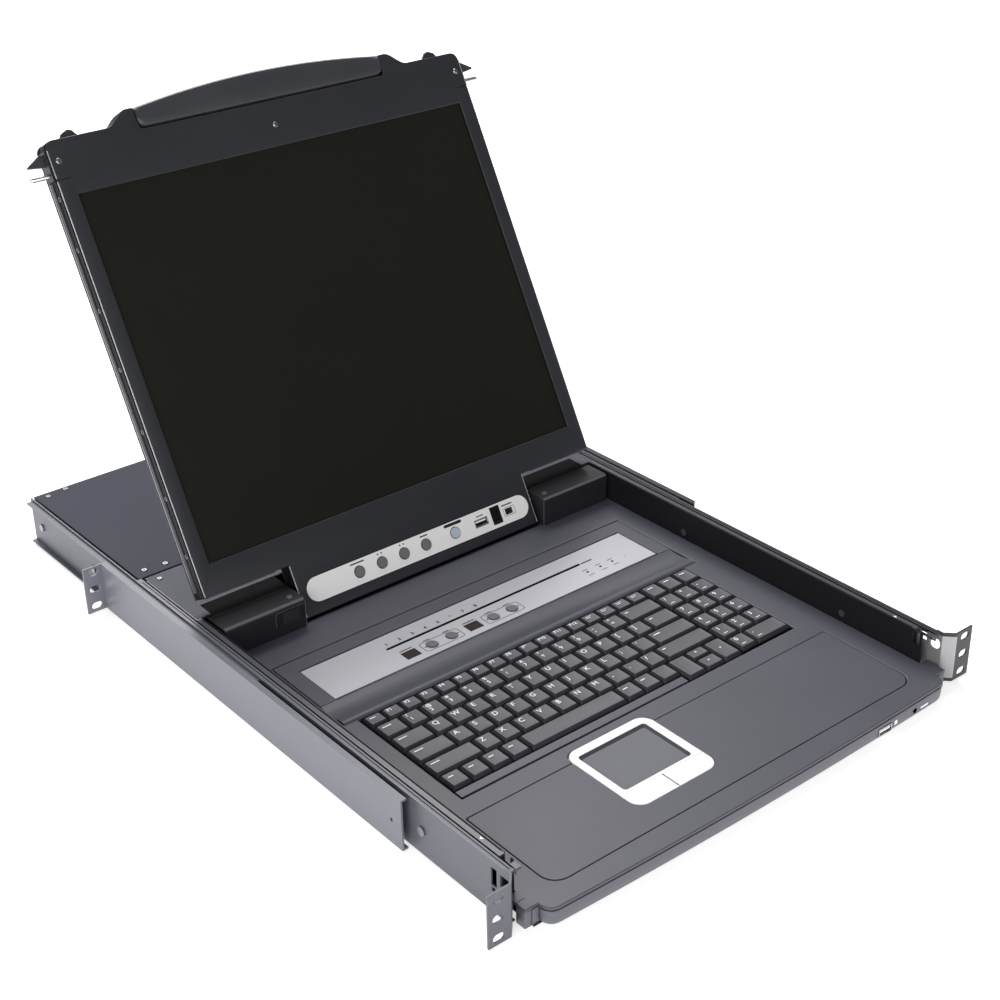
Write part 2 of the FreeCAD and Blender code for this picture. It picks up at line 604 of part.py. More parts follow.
def keyboard_deck():
    """Top moulding of the drawer: palm rest, keyboard well, control panel and touchpad openings."""
    name = "keyboard_deck"
    deep = ("deck_top - deck_sheet - 1", "deck_top + 1")
    plate = block(name + "_plate", ("-deck_half", "deck_half"), ("deck_front", "deck_rear"),
                  ("deck_top - deck_sheet", "deck_top"))
    posts = []
    for label, side in SIDES.items():
        for index, y in enumerate(("30", "200", "350")):
            posts.append(rod(f"{name}_post_{label}_{index}",
                             (across(side, "deck_post_line", "deck_post_line")[0], y,
                              "base_level + sheet_gauge"), "deck_post_radius",
                             "deck_top - deck_sheet - base_level - sheet_gauge", "z"))
    well = block(name + "_well", ("well_left", "well_right"), ("well_front", "well_rear"), deep)
    panel = block(name + "_panel", ("-panel_half - 0.3", "panel_half + 0.3"),
                  ("panel_front - 0.3", "panel_rear + 0.3"), deep)
    pad = rounded(name + "_pad", ("pad_left - 0.3", "pad_right + 0.3"),
                  ("pad_front - 0.3", "pad_rear + 0.3"), deep, "pad_corner")
    groove = palm_rest_groove(name + "_groove")
    node(name, cut(name, fuse(name + "_blank", [plate] + posts), [well, panel, pad, groove]))


def palm_rest_groove(name):
    """Thin inset line round the palm rest."""
    bands = []
    for label, edge, low, high in (("outer", "groove_width / 2", "0.5", "1"),
                                   ("inner", "(-groove_width / 2)", "0.6", "2")):
        bands.append(rounded(f"{name}_{label}",
                             (f"-groove_half - {edge}", f"groove_half + {edge}"),
                             (f"groove_front - {edge}", f"groove_rear + {edge}"),
                             (f"deck_top - {low}", f"deck_top + {high}"),
                             f"(groove_radius + {edge})"))
    return cut(name, bands[0], [bands[1]])


def mouse_socket_wide(grow):
    return (f"mouse_socket_line - mouse_socket_half - {grow}",
            f"mouse_socket_line + mouse_socket_half + {grow}")


def mouse_socket_high(grow):
    return (f"mouse_socket_level - mouse_socket_half_high - {grow}",
            f"mouse_socket_level + mouse_socket_half_high + {grow}")


def front_bezel():
    """Bowed front nose of the drawer with the side blocks that close the rails."""
    name = "front_bezel"
    bow = "((nose_half - nose_corner)^2 + (nose_end_front - nose_front)^2)"
    bow += " / (2 * (nose_end_front - nose_front))"
    corner_back = "nose_end_front + nose_corner"
    nose = outline(name, [
        ("-nose_half + nose_corner", "nose_end_front", bow),
        ("nose_half - nose_corner", "nose_end_front", "nose_corner"),
        ("nose_half", corner_back), ("nose_half", "tray_front"),
        ("-nose_half", "tray_front"), ("-nose_half", corner_back, "nose_corner"),
    ], "base_level", "deck_top")
    under_deck = block(name + "_rebate", ("-deck_half - 1", "deck_half + 1"),
                       ("deck_front", "10"), ("deck_top - deck_sheet", "deck_top + 1"))
    hollow = block(name + "_hollow", ("-nose_half + 8", "nose_half - 8"),
                   ("deck_front + 1", "10"), ("base_level + 2", "deck_top - deck_sheet - 1.5"))
    socket = block(name + "_socket", mouse_socket_wide("0.5"), ("-20", "0"),
                   mouse_socket_high("0.3"))
    button = rod(name + "_pinhole", ("reset_hole_line", "-20", "reset_hole_level"),
                 "reset_hole_radius", "14", "y")
    blocks = []
    for label, side in SIDES.items():
        blocks.append(block(f"{name}_arm_{label}", across(side, "nose_half - 2", "side_block_half"),
                            ("tray_front - 0.5", "side_block_rear"),
                            ("base_level + sheet_gauge", "deck_top - deck_sheet")))
        blocks.append(block(f"{name}_block_{label}",
                            across(side, "tray_half + 0.1", "side_block_half"),
                            ("-0.4", "side_block_rear"), ("base_level", "deck_top")))
    nose_cut = cut(name + "_nose", nose, [under_deck, hollow, socket, button])
    node(name, fuse(name, [nose_cut] + blocks))


def front_usb_port():
    """Mouse socket in the nose: metal shell with its tongue."""
    shell = block("front_usb_port_shell", mouse_socket_wide("0"), ("nose_front + 1", "0.5"),
                  mouse_socket_high("0"))
    mouth = block("front_usb_port_mouth", mouse_socket_wide("(-socket_wall)"),
                  ("nose_front - 1", "-1"), mouse_socket_high("(-socket_wall)"))
    roof = "mouse_socket_level + mouse_socket_half_high - socket_wall"
    tongue = block("front_usb_port_tongue", mouse_socket_wide("(-1.8)"), ("-12.5", "-1"),
                   (f"{roof} - 1.6", roof))
    node("front_usb_port", fuse("front_usb_port",
                                [cut("front_usb_port_tube", shell, [mouth]), tongue]))


# ---- keyboard ------------------------------------------------------------------------------

def keycap(left, right, front, rear):
    """Sculpted cap: straight skirt below, bevelled on all four sides to its flat top."""
    gap = size("key_gap") / 2
    bevel = size("key_bevel")
    low, shoulder, top = size("key_bottom"), size("key_shoulder"), size("key_top")
    left += gap
    right -= gap
    skirt = Part.makeBox(right - left, rear - front, shoulder - low,
                         FreeCAD.Vector(left, front, low))
    rings = []
    for inset, level in ((0.0, shoulder), (bevel, top)):
        corners = [(left + inset, front + inset), (right - inset, front + inset),
                   (right - inset, rear - inset), (left + inset, rear - inset)]
        corners.append(corners[0])
        rings.append(Part.makePolygon([FreeCAD.Vector(x, y, level) for x, y in corners]))
    return skirt.fuse(Part.makeLoft(rings, True)).removeSplitter()


def row_edges(widths):
    """Left edges of a row of keys, ending at the right edge of the main block."""
    edges = [size("keys_left")]
    for width in widths:
        edges.append(edges[-1] + width)
    edges.append(size("keys_right"))
    return edges


def row_span(row):
    front = size("key_front") + row * size("key_row_pitch")
    return front, front + size("key_row_depth")


def caps_in_row(edges, front, rear):
    return [keycap(low, high, front, rear) for low, high in zip(edges[:-1], edges[1:])]


def key_group(name, shapes):
    """Keys of one block as separate solids in one node."""
    feature = doc.addObject("Part::Feature", name)
    feature.Shape = shapes[0] if len(shapes) == 1 else Part.makeCompound(shapes)
    node(name, feature)


def keyboard_keys():
    """All the keys, by block; the space bar and the enter key are nodes of their own."""
    unit = size("key_pitch")
    letters = []
    for row, first, count in ((4, 22.8, 12), (3, 31.5, 12), (2, 36.0, 11), (1, 45.3, 10)):
        front, rear = row_span(row)
        letters.append(caps_in_row(row_edges([first] + [unit] * count), front, rear))
    enter = letters[2].pop()
    front, rear = row_span(0)
    modifiers = [unit] * 4 + [94.5] + [unit] * 3
    edges = row_edges(modifiers)[:-1]
    bottom = caps_in_row(edges, front, rear)
    space = bottom.pop(4)
    main = [cap for row in letters for cap in row] + bottom + arrow_keys(edges[-1])
    key_group("main_keys", main)
    key_group("space_bar", [space])
    key_group("enter_key", [enter])
    front = row_span(5)[0]
    step = (size("keys_right") - size("keys_left")) / 17
    key_group("function_keys", caps_in_row(
        row_edges([step] * 16), front, front + size("function_depth")))
    key_group("numeric_pad_keys", numeric_pad())


def arrow_keys(left):
    """Cursor keys: tall left and right ones beside the down key with the up key behind it."""
    step = (size("keys_right") - left) / 3
    front, split, rear = size("arrow_front"), size("arrow_split"), size("arrow_rear")
    gap = size("key_gap")
    low = split - gap
    keys = [keycap(left + step, left + 2 * step, front, low),
            keycap(left + step, left + 2 * step, split, rear)]
    for index in (0, 2):
        keys.append(keycap(left + index * step, left + (index + 1) * step, front, rear))
    return keys


def numeric_pad():
    """Number pad: three columns by six rows, the last row with a wide enter key."""
    left, step = size("keypad_left"), size("keypad_pitch")
    pitch, gap = size("keypad_row_pitch"), size("key_gap")
    keys = []
    for row in range(6):
        front = size("keypad_front") + row * pitch
        rear = front + pitch - gap
        if row == 0:
            keys.append(keycap(left, left + step, front, rear))
            keys.append(keycap(left + step, left + 3 * step, front, rear))
            continue
        for column in range(3):
            keys.append(keycap(left + column * step, left + (column + 1) * step, front, rear))
    return keys


def keyboard_base():
    """Shallow tub under the keys, hung from the deck."""
    outer = block("keyboard_base_outer", ("well_left - 2", "well_right + 2"),
                  ("well_front - 2", "well_rear + 2"),
                  ("base_plate_top - 1.6", "deck_top - deck_sheet"))
    room = block("keyboard_base_room", ("well_left - 0.5", "well_right + 0.5"),
                 ("well_front - 0.5", "well_rear + 0.5"), ("base_plate_top", "deck_top"))
    node("keyboard_base", cut("keyboard_base", outer, [room]))


def keyboard_trim_bar():
    """Trim bar in front of the keys, left of the cursor keys."""
    node("keyboard_trim_bar", block("keyboard_trim_bar", ("keys_left - 0.3", "trim_right"),
                                    ("well_front + 1.8", "trim_rear"),
                                    ("base_plate_top", "deck_top")))


# ---- control panel -------------------------------------------------------------------------

PANEL_BUTTONS = {
    "port_down_button": "-65.8", "port_up_button": "-46.2",
    "station_down_button": "-3", "station_up_button": "16.5",
}
WINDOW_CENTRES = ("-86.5", "-23.7")
LAMP_SPOTS = ("102.6", "117.1", "130.6")


def panel_holes(name, low, high):
    """Button holes through the panel, as tools."""
    return [rod(f"{name}_{button}", (x, "panel_button_line", low), "panel_button_radius + 0.3",
                f"{high} - ({low})", "z") for button, x in PANEL_BUTTONS.items()]


def control_panel_cover():
    """Raised-edge cover that carries the silver plate in a shallow recess."""
    name = "control_panel_cover"
    top = block(name + "_top", ("-panel_half", "panel_half"), ("panel_front", "panel_rear"),
                ("deck_top - deck_sheet", "deck_top"))
    flange = block(name + "_flange", ("-panel_half - 4", "panel_half + 4"),
                   ("panel_front - 3.5", "panel_rear + 4"),
                   ("deck_top - deck_sheet - 1.2", "deck_top - deck_sheet"))
    recess = block(name + "_recess", ("-plate_half - 0.3", "plate_half + 0.3"),
                   ("recess_front", "plate_rear + 0.3"), ("recess_floor", "deck_top + 1"))
    holes = panel_holes(name, "deck_top - deck_sheet - 2", "deck_top")
    node(name, cut(name, fuse(name + "_blank", [top, flange]), [recess] + holes))


def port_panel_plate():
    """Silver plate with the port scale, display windows and lamp holes."""
    name = "port_panel_plate"
    through = ("recess_floor - 1", "plate_top + 1")
    plate = block(name + "_plate", ("-plate_half", "plate_half"), ("plate_front", "plate_rear"),
                  ("recess_floor", "plate_top"))
    tools = panel_holes(name, through[0], through[1])
    for index, x in enumerate(WINDOW_CENTRES):
        tools.append(block(f"{name}_window_{index}",
                           (f"{x} - window_wide / 2", f"{x} + window_wide / 2"),
                           ("panel_button_line - window_deep / 2",
                            "panel_button_line + window_deep / 2"), through))
    tools.append(block(name + "_slit", ("slit_left", "slit_right"),
                       ("slit_line - slit_width / 2", "slit_line + slit_width / 2"), through))
    for index, x in enumerate(LAMP_SPOTS):
        tools.append(rod(f"{name}_lamp_{index}", (x, "lamp_line", through[0]),
                         "lamp_hole_radius", "4", "z"))
    tools.append(rod(name + "_pinhole", ("144.7", "288.5", through[0]), "0.7", "4", "z"))
    node(name, cut(name, plate, tools))


def port_displays():
    """Two digit windows, the port light bar and three lamps."""
    lamps = []
    for index, x in enumerate(WINDOW_CENTRES):
        lamps.append(block(f"port_display_{index}",
                           (f"{x} - window_wide / 2 + 0.2", f"{x} + window_wide / 2 - 0.2"),
                           ("panel_button_line - window_deep / 2 + 0.2",
                            "panel_button_line + window_deep / 2 - 0.2"),
                           ("recess_floor", "plate_top - 0.2")))
    lamps.append(block("port_light_bar", ("slit_left + 0.2", "slit_right - 0.2"),
                       ("slit_line - slit_width / 2 + 0.2", "slit_line + slit_width / 2 - 0.2"),
                       ("recess_floor", "plate_top - 0.4")))
    for index, x in enumerate(LAMP_SPOTS):
        lamps.append(rod(f"status_lamp_{index}", (x, "lamp_line", "recess_floor"),
                         "lamp_hole_radius - 0.3", "plate_top + 0.1 - recess_floor", "z"))
    node("port_displays", group("port_displays", lamps))


def panel_buttons():
    """The four round buttons of the panel."""
    for name, x in PANEL_BUTTONS.items():
        node(name, rod(name, (x, "panel_button_line", "panel_button_foot"),
                       "panel_button_radius", "plate_top + 0.9 - panel_button_foot", "z"))


def console_board():
    """Circuit board of the control panel on its four posts."""
    parts = board_on_posts(
        "console_board", ("console_card_left", "console_card_right"),
        ("console_card_front", "console_card_rear"), "console_card_bottom",
        ("console_card_left + card_margin", "console_card_right - card_margin"),
        ("console_card_front + card_margin", "console_card_rear - card_margin"))
    node("console_board", fuse("console_board", parts))


# ---- touchpad ------------------------------------------------------------------------------

PAD_UNDER = "deck_top - deck_sheet - 1.2"


def touchpad_frame():
    """White surround of the touchpad with its tub."""
    name = "touchpad_frame"
    ring = rounded(name + "_ring", ("pad_left", "pad_right"), ("pad_front", "pad_rear"),
                   (PAD_UNDER, "deck_top + 0.2"), "pad_corner")
    flange = block(name + "_flange", ("pad_left - 3.5", "pad_right + 3.5"),
                   ("pad_button_rear + 0.2", "pad_rear + 3.5"),
                   (PAD_UNDER, "deck_top - deck_sheet"))
    front = block(name + "_front", ("pad_left - 5", "pad_right + 5"),
                  ("pad_front - 5", "pad_button_rear + 0.2"), ("-15", "0"))
    opening = rounded(name + "_opening", ("pad_open_left", "pad_open_right"),
                      ("pad_open_front", "pad_open_rear"),
                      ("deck_top - deck_sheet - 0.2", "0"), "3")
    node(name, cut(name, fuse(name + "_blank", [ring, flange]), [front, opening]))


def touchpad_surface():
    """Touch-sensitive plate sunk in the surround."""
    node("touchpad_surface", rounded(
        "touchpad_surface", ("pad_open_left + 0.3", "pad_open_right - 0.3"),
        ("pad_open_front + 0.3", "pad_open_rear - 0.3"),
        ("deck_top - deck_sheet - 0.2", "deck_top - 1.7"), "2.7"))


def touchpad_buttons():
    """Left and right click plates at the front of the surround."""
    z = ("deck_top - 1.4", "deck_top + 0.2")
    spans = {"left": ("pad_left", "pad_split - 0.15"), "right": ("pad_split + 0.15", "pad_right")}
    for label, (low, high) in spans.items():
        name = "touchpad_button_" + label
        whole = rounded(name + "_whole", ("pad_left", "pad_right"), ("pad_front", "pad_rear"), z,
                        "pad_corner")
        half = block(name + "_half", (low, high), ("pad_front - 1", "pad_button_rear"),
                     ("-10", "0"))
        common = doc.addObject("Part::Common", name)
        common.Base = whole
        common.Tool = half
        node(name, common)


# ---- hinge ---------------------------------------------------------------------------------

def hinge_cover(label, side):
    """Housing of one hinge: hollow cover with a bearing block, standing on the tray floor."""
    name = "hinge_cover_" + label
    wide = across(side, "hinge_cover_inner", "hinge_cover_outer")
    inside = across(side, "hinge_cover_inner + 1.5", "hinge_cover_outer - 1.5")
    floor_top = "base_level + sheet_gauge"
    outer = fuse(name + "_outer", [
        block(name + "_body", wide, ("hinge_cover_front", "hinge_cover_rear"),
              ("deck_top", "case_top")),
        block(name + "_stand", wide, ("deck_rear + 1.5", "hinge_cover_rear"),
              (floor_top, "deck_top")),
    ])
    room = block(name + "_room", inside,
                 ("hinge_cover_front + 1.5", "hinge_cover_rear + 1"), ("deck_top", "case_top - 1.5"))
    cellar = block(name + "_cellar", inside,
                   ("deck_rear + 3", "hinge_cover_rear + 1"), (floor_top, "deck_top"))
    bearing = block(name + "_bearing", across(side, "hinge_cover_inner + 1", "shaft_outer + 3"),
                    ("hinge_back - 8", "hinge_back + 8"), ("hinge_level - 8", "case_top - 1"))
    start = across(side, "hinge_cover_inner - 1", "shaft_outer + 0.5")[0]
    bore = rod(name + "_bore", (start, "hinge_back", "hinge_level"),
               "shaft_radius + shaft_clearance", "shaft_outer - hinge_cover_inner + 1.5", "x")
    shell = fuse(name + "_shell", [cut(name + "_hollow", outer, [room, cellar]), bearing])
    tools = [bore]
    if side < 0:
        tools.append(block(name + "_latch_recess", ("-154", "-125"),
                           ("hinge_cover_front - 1", "hinge_cover_front + 1.6"), ("3.5", "16.5")))
    node(name, cut(name, shell, tools))


def lid_lock_slider():
    """Small sliding lid lock in the recess of the left hinge cover."""
    knob = block("lid_lock_slider_knob", ("-148.5", "-132"),
                 ("hinge_cover_front - 0.6", "hinge_cover_front + 1.5"), ("4.6", "15.4"))
    node("lid_lock_slider", knob)


def hinge_shafts():
    """Hinge pins with the leaves that carry the lid."""
    shafts = []
    for label, side in SIDES.items():
        start = across(side, "shaft_inner", "shaft_outer")[0]
        pin = rod("hinge_pin_" + label, (start, "0", "0"), "shaft_radius",
                  "shaft_outer - shaft_inner", "x")
        leaf = block("hinge_leaf_" + label, across(side, "shaft_inner - 4", "tongue_half - 2.5"),
                     ("-4", "44"), ("lid_back + shell_sheet", "lid_back + shell_sheet + 3.5"))
        shafts.append(fuse("hinge_shaft_" + label, [pin, leaf]))
    node("hinge_shafts", group("hinge_shafts", shafts), LID_OPEN)


# ---- lid -----------------------------------------------------------------------------------

def lid_outline(name, half, low, high):
    """Front outline of the lid: tongue, sides, raised shoulders and the handle's recess."""
    right = [
        ("tongue_half", "tongue_foot"), ("tongue_half", "lid_foot"), (half, "lid_foot"),
        (half, "lid_top - lid_corner", "lid_corner"), (f"{half} - lid_corner", "lid_top"),
        ("shoulder_outer", "lid_top"), ("shoulder_inner", "shoulder_top"),
        ("handle_half + 0.3", "shoulder_top"), ("handle_half + 0.3", "handle_foot"),
    ]
    left = []
    for index in range(len(right) - 1, -1, -1):
        point = right[index]
        arc = right[index - 1][2:] if index else ()
        left.append((f"-({point[0]})", point[1]) + tuple(arc))
    return outline(name, right + left, low, high)


def lid_rear_shell():
    """Rear shell of the screen: back, sides and the hollow hinge tongue."""
    name = "lid_rear_shell"
    front = "lid_face - bezel_sheet"
    blank = lid_outline(name, "shell_half", "lid_back", front)
    deep = ("lid_back + shell_sheet", "lid_face")
    slit = ("catch_slab_back - 0.5", "catch_slab_face + 0.5")
    rooms = [
        block(name + "_room", ("-shell_half + shell_sheet", "shell_half - shell_sheet"),
              ("lid_foot + shell_sheet", "handle_foot - shell_sheet"), deep),
        block(name + "_tongue_room", ("-tongue_half + shell_sheet", "tongue_half - shell_sheet"),
              ("tongue_foot + shell_sheet", "lid_foot + shell_sheet + 1"), deep),
    ]
    for label, side in SIDES.items():
        rooms.append(block(f"{name}_catch_room_{label}",
                           across(side, "shoulder_outer", "shell_half - shell_sheet"),
                           ("handle_foot - shell_sheet - 1", "lid_top - shell_sheet"), deep))
        through = across(side, "shell_half - 3", "shell_half + 2")
        rooms.append(rod(f"{name}_pin_hole_{label}", (through[0], "catch_line", "catch_depth"),
                         "catch_pin_radius + 0.4", "5", "x"))
        rooms.append(block(f"{name}_tab_slot_{label}", through, ("377.6", "389.4"), slit))
        rooms.append(block(f"{name}_thumb_slot_{label}",
                           across(side, "thumb_inner - 11.5", "thumb_outer + 1"),
                           ("lid_top - 3", "lid_top + 2"), slit))
        rooms.append(rod(f"{name}_shaft_hole_{label}",
                         (across(side, "tongue_half - 4", "tongue_half + 2")[0], "0", "0"),
                         "shaft_radius + 0.3", "6", "x"))
    node(name, cut(name, blank, rooms), LID_OPEN)


SCREEN_BUTTONS = ("osd_exit_button", "osd_down_button", "osd_up_button", "osd_menu_button")


def screen_button_x(index):
    return f"screen_button_first + {index} * screen_button_pitch"


def strip_cutouts(name, low, high):
    """Holes of the control strip: buttons, two sockets and the small switch, as tools."""
    centres = [screen_button_x(index) for index in range(len(SCREEN_BUTTONS))]
    centres.append("power_button_line")
    deep = f"{high} - ({low})"
    tools = [rod(f"{name}_button_{index}", (x, "strip_line", low), "screen_button_radius + 0.3",
                 deep, "z") for index, x in enumerate(centres)]
    for label, x, y in (
            ("usb", ("usb_centre - usb_half - 0.3", "usb_centre + usb_half + 0.3"),
             ("usb_low - 0.3", "usb_top + 0.3")),
            ("phone", ("jack_centre - jack_half - 0.3", "jack_centre + jack_half + 0.3"),
             ("jack_low - 0.3", "jack_top + 0.3")),
            ("switch", ("switch_slot_left", "switch_slot_right"),
             ("switch_low", "switch_top"))):
        tools.append(block(f"{name}_{label}", x, y, (low, high)))
    return tools


def lid_bezel():
    """Front frame of the screen with the control strip's recess."""
    name = "lid_bezel"
    back = "lid_face - bezel_sheet"
    blank = lid_outline(name, "lid_half", back, "lid_face")
    opening = block(name + "_opening", ("-screen_half", "screen_half"),
                    ("screen_foot", "screen_top"), ("0", "lid_face + 1"))
    strip = strip_plate(name + "_strip_bed", "0.3", ("lid_face - strip_recess", "lid_face + 1"))
    tools = [opening, strip] + strip_cutouts(name, f"{back} - 1", "lid_face + 1")
    for label, side in SIDES.items():
        tools.append(block(f"{name}_slit_{label}", across(side, "screen_half", "lid_half + 1"),
                           ("365", "366.4"), ("lid_face - 0.8", "lid_face + 1")))
    node(name, cut(name, blank, tools), LID_OPEN)


def strip_plate(name, grow, z):
    """Long plate with half-round ends."""
    low = f"strip_line - strip_high / 2 - {grow}"
    high = f"strip_line + strip_high / 2 + {grow}"
    return rounded(name, (f"strip_left - {grow}", f"strip_right + {grow}"), (low, high), z,
                   f"(strip_high / 2 + {grow} - 0.01)")


def osd_strip():
    """Pale strip that carries the screen controls."""
    z = ("lid_face - strip_recess", "lid_face")
    blank = strip_plate("osd_strip_plate", "0", z)
    node("osd_strip", cut("osd_strip", blank,
                          strip_cutouts("osd_strip", f"{z[0]} - 1", f"{z[1]} + 1")), LID_OPEN)


def osd_buttons():
    """Round screen-menu buttons and the lit power button."""
    names = list(SCREEN_BUTTONS) + ["lcd_power_button"]
    centres = [screen_button_x(index) for index in range(len(SCREEN_BUTTONS))]
    centres.append("power_button_line")
    for name, x in zip(names, centres):
        node(name, rod(name, (x, "strip_line", "screen_button_foot"), "screen_button_radius",
                       "lid_face + 0.9 - screen_button_foot", "z"), LID_OPEN)


def osd_jacks():
    """Two sockets of the strip: a flat data socket and an upright clip-in jack."""
    def tube(name, centre, half, low, top, wall, back):
        shell = block(name + "_shell", (f"{centre} - {half}", f"{centre} + {half}"), (low, top),
                      (back, "lid_face"))
        mouth = block(name + "_mouth", (f"{centre} - {half} + {wall}", f"{centre} + {half} - {wall}"),
                      (f"{low} + {wall}", f"{top} - {wall}"), (f"{back} + {wall}", "lid_face + 1"))
        return cut(name, shell, [mouth])

    usb = tube("lid_usb_socket", "usb_centre", "usb_half", "usb_low", "usb_top", "socket_wall",
               "-4.6")
    jack = tube("lid_phone_jack", "jack_centre", "jack_half", "jack_low", "jack_top",
                "jack_wall", "-6")
    tongue = block("lid_usb_tongue", ("usb_centre - 5.3", "usb_centre + 5.3"),
                   ("usb_top - 2.2", "usb_top - socket_wall"), ("-4", "lid_face - 1.5"))
    node("osd_jacks", group("osd_jacks", [fuse("lid_usb", [usb, tongue]), jack]), LID_OPEN)


def osd_slide_switch():
    """Small two-position switch at the end of the strip."""
    node("osd_slide_switch", block(
        "osd_slide_switch", ("switch_slot_left + 0.4", "switch_slot_left + 4"),
        ("switch_low + 0.4", "switch_top - 0.4"), ("4.4", "lid_face + 0.5")), LID_OPEN)


def osd_board():
    """Narrow board behind the strip on two ribs."""
    parts = [block("osd_board_card", ("-98", "54"), ("-12", "9"), ("-0.6", "0.9"))]
    for index, x in enumerate(("-95", "45")):
        parts.append(block(f"osd_board_rib_{index}", (x, f"{x} + 4"), ("-10", "7"),
                           ("lid_back + shell_sheet", "-0.6")))
    return fuse("osd_board", parts)


def lcd_panel():
    """Screen panel behind the bezel opening."""
    node("lcd_panel", block("lcd_panel", ("-screen_half - 4", "screen_half + 4"),
                            ("screen_foot - 4", "screen_top + 4"),
                            ("-2.6", "lid_face - bezel_sheet")), LID_OPEN)


def lcd_driver_board():
    """Screen drive board on four pads behind the panel."""
    back = "lid_back + shell_sheet"
    parts = [block("lcd_driver_card", ("-70", "70"), ("110", "210"), ("-5.4", "-4"))]
    for column, x in enumerate(("-64", "64")):
        for line, y in enumerate(("116", "204")):
            parts.append(rod(f"lcd_driver_post_{column}_{line}", (x, y, back), "3",
                             f"-5.4 - ({back})", "z"))
    return fuse("lcd_driver_board", parts)


def lid_boards():
    """The lid's two circuit boards as one group."""
    node("lid_boards", group("lid_boards", [osd_board(), lcd_driver_board()]), LID_OPEN)


def lid_handle():
    """Arched grip let into the top edge of the lid."""
    half, top = "handle_half", "shoulder_top"
    arch = "(handle_half^2 + handle_arch^2) / (2 * handle_arch)"
    grip = outline("lid_handle", [
        (f"-{half} + 6", "handle_foot"), (f"{half} - 6", "handle_foot"), (half, top, arch),
        (f"-{half}", top),
    ], "lid_back", "lid_face + 1")
    node("lid_handle", grip, LID_OPEN)


def catch(label, side):
    """Lid catch, one piece: steel pin, bevelled tab and the thumb tab on the top edge."""
    name = "catch_" + label
    slab = ("catch_slab_back", "catch_slab_face")
    bar = block(name + "_bar", across(side, "catch_inner", "catch_root + 2"),
                ("catch_low", "catch_high"), slab)
    pin = rod(name + "_pin",
              (across(side, "catch_root", "catch_tip")[0], "catch_line", "catch_depth"),
              "catch_pin_radius", "catch_tip - catch_root", "x")
    thumb = block(name + "_thumb", across(side, "thumb_inner", "thumb_outer"),
                  ("catch_high - 2", "thumb_top"), slab)
    foot, shoulder = "catch_high - 8.4", "catch_high + 1.2"
    wedge = [("catch_root", foot), ("catch_root + 9.5", foot), ("catch_tab_tip", "380"),
             ("catch_tab_tip", "381.6"), ("catch_root + 9.5", shoulder),
             ("catch_root", shoulder)]
    points = [(across(side, x, x)[0], y) for x, y in wedge]
    if side < 0:
        points.reverse()
    tab = outline(name + "_tab", points, slab[0], slab[1])
    node(name, fuse(name, [bar, pin, thumb, tab]), LID_OPEN)


def lid_screws():
    """Screws on the lid's face."""
    spots = (("-193.7", "380"), ("193.7", "380"), ("0", "370"))
    screws = [flat_screw(f"lid_screw_{index}", x, y, "lid_face", "2.6")
              for index, (x, y) in enumerate(spots)]
    node("lid_screws", group("lid_screws", screws), LID_OPEN)


CONSOLE_SCREW_SPOTS = (("199.5", "476"), ("134.5", "383"))
WALL_SCREW_SPOTS = (("97.6", "2"), ("277.1", "0.5"))


def console_screws():
    """Screws on the rear cover, the hinge covers and the inside of the tray walls."""
    screws = []
    for label, side in SIDES.items():
        for index, (x, y) in enumerate(CONSOLE_SCREW_SPOTS):
            screws.append(flat_screw(f"console_screw_{label}_{index}", across(side, x, x)[0], y,
                                     "case_top", "2.8"))
        for index, (y, z) in enumerate(WALL_SCREW_SPOTS):
            screws.append(side_screw(f"wall_screw_{label}_{index}", side,
                                     "tray_half - wall_gauge - 0.7", y, z, "3", "0.7"))
    node("console_screws", group("console_screws", screws))


# ---- build, check and write ----------------------------------------------------------------

for word, hand in SIDES.items():
    outer_rail(word, hand)
    rear_bracket(word, hand)
    bracket_guide(word, hand)
    inner_rail(word, hand)
    hinge_cover(word, hand)
    catch(word, hand)
chassis_base()
chassis_cover()
kvm_board()
power_supply()
power_inlet()
computer_ports()
chassis_screws()
console_tray()
rear_cover()
keyboard_deck()
front_bezel()
front_usb_port()
keyboard_keys()
keyboard_base()
keyboard_trim_bar()
control_panel_cover()
port_panel_plate()
port_displays()
panel_buttons()
console_board()
touchpad_frame()
touchpad_surface()
touchpad_buttons()
lid_lock_slider()
hinge_shafts()
lid_rear_shell()
lid_bezel()
osd_strip()
osd_buttons()
osd_jacks()
osd_slide_switch()
lid_boards()
lcd_panel()
lid_handle()
lid_screws()
console_screws()

doc.recompute()
for item in doc.Objects:
    bad = [state for state in item.State if state in ("Invalid", "Error")]
    if bad:
        raise RuntimeError(f"{item.Name}: {bad}")
for name, item in nodes.items():
    if item.Shape.isNull() or not item.Shape.isValid():
        raise RuntimeError(f"{name}: shape is empty or not valid")
os.makedirs("parts", exist_ok=True)
for name, item in nodes.items():
    item.Shape.exportStep(f"parts/{name}.step")
print(len(nodes), "nodes written")
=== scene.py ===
import json
import math

import bmesh
import bpy
from mathutils import Matrix, Vector


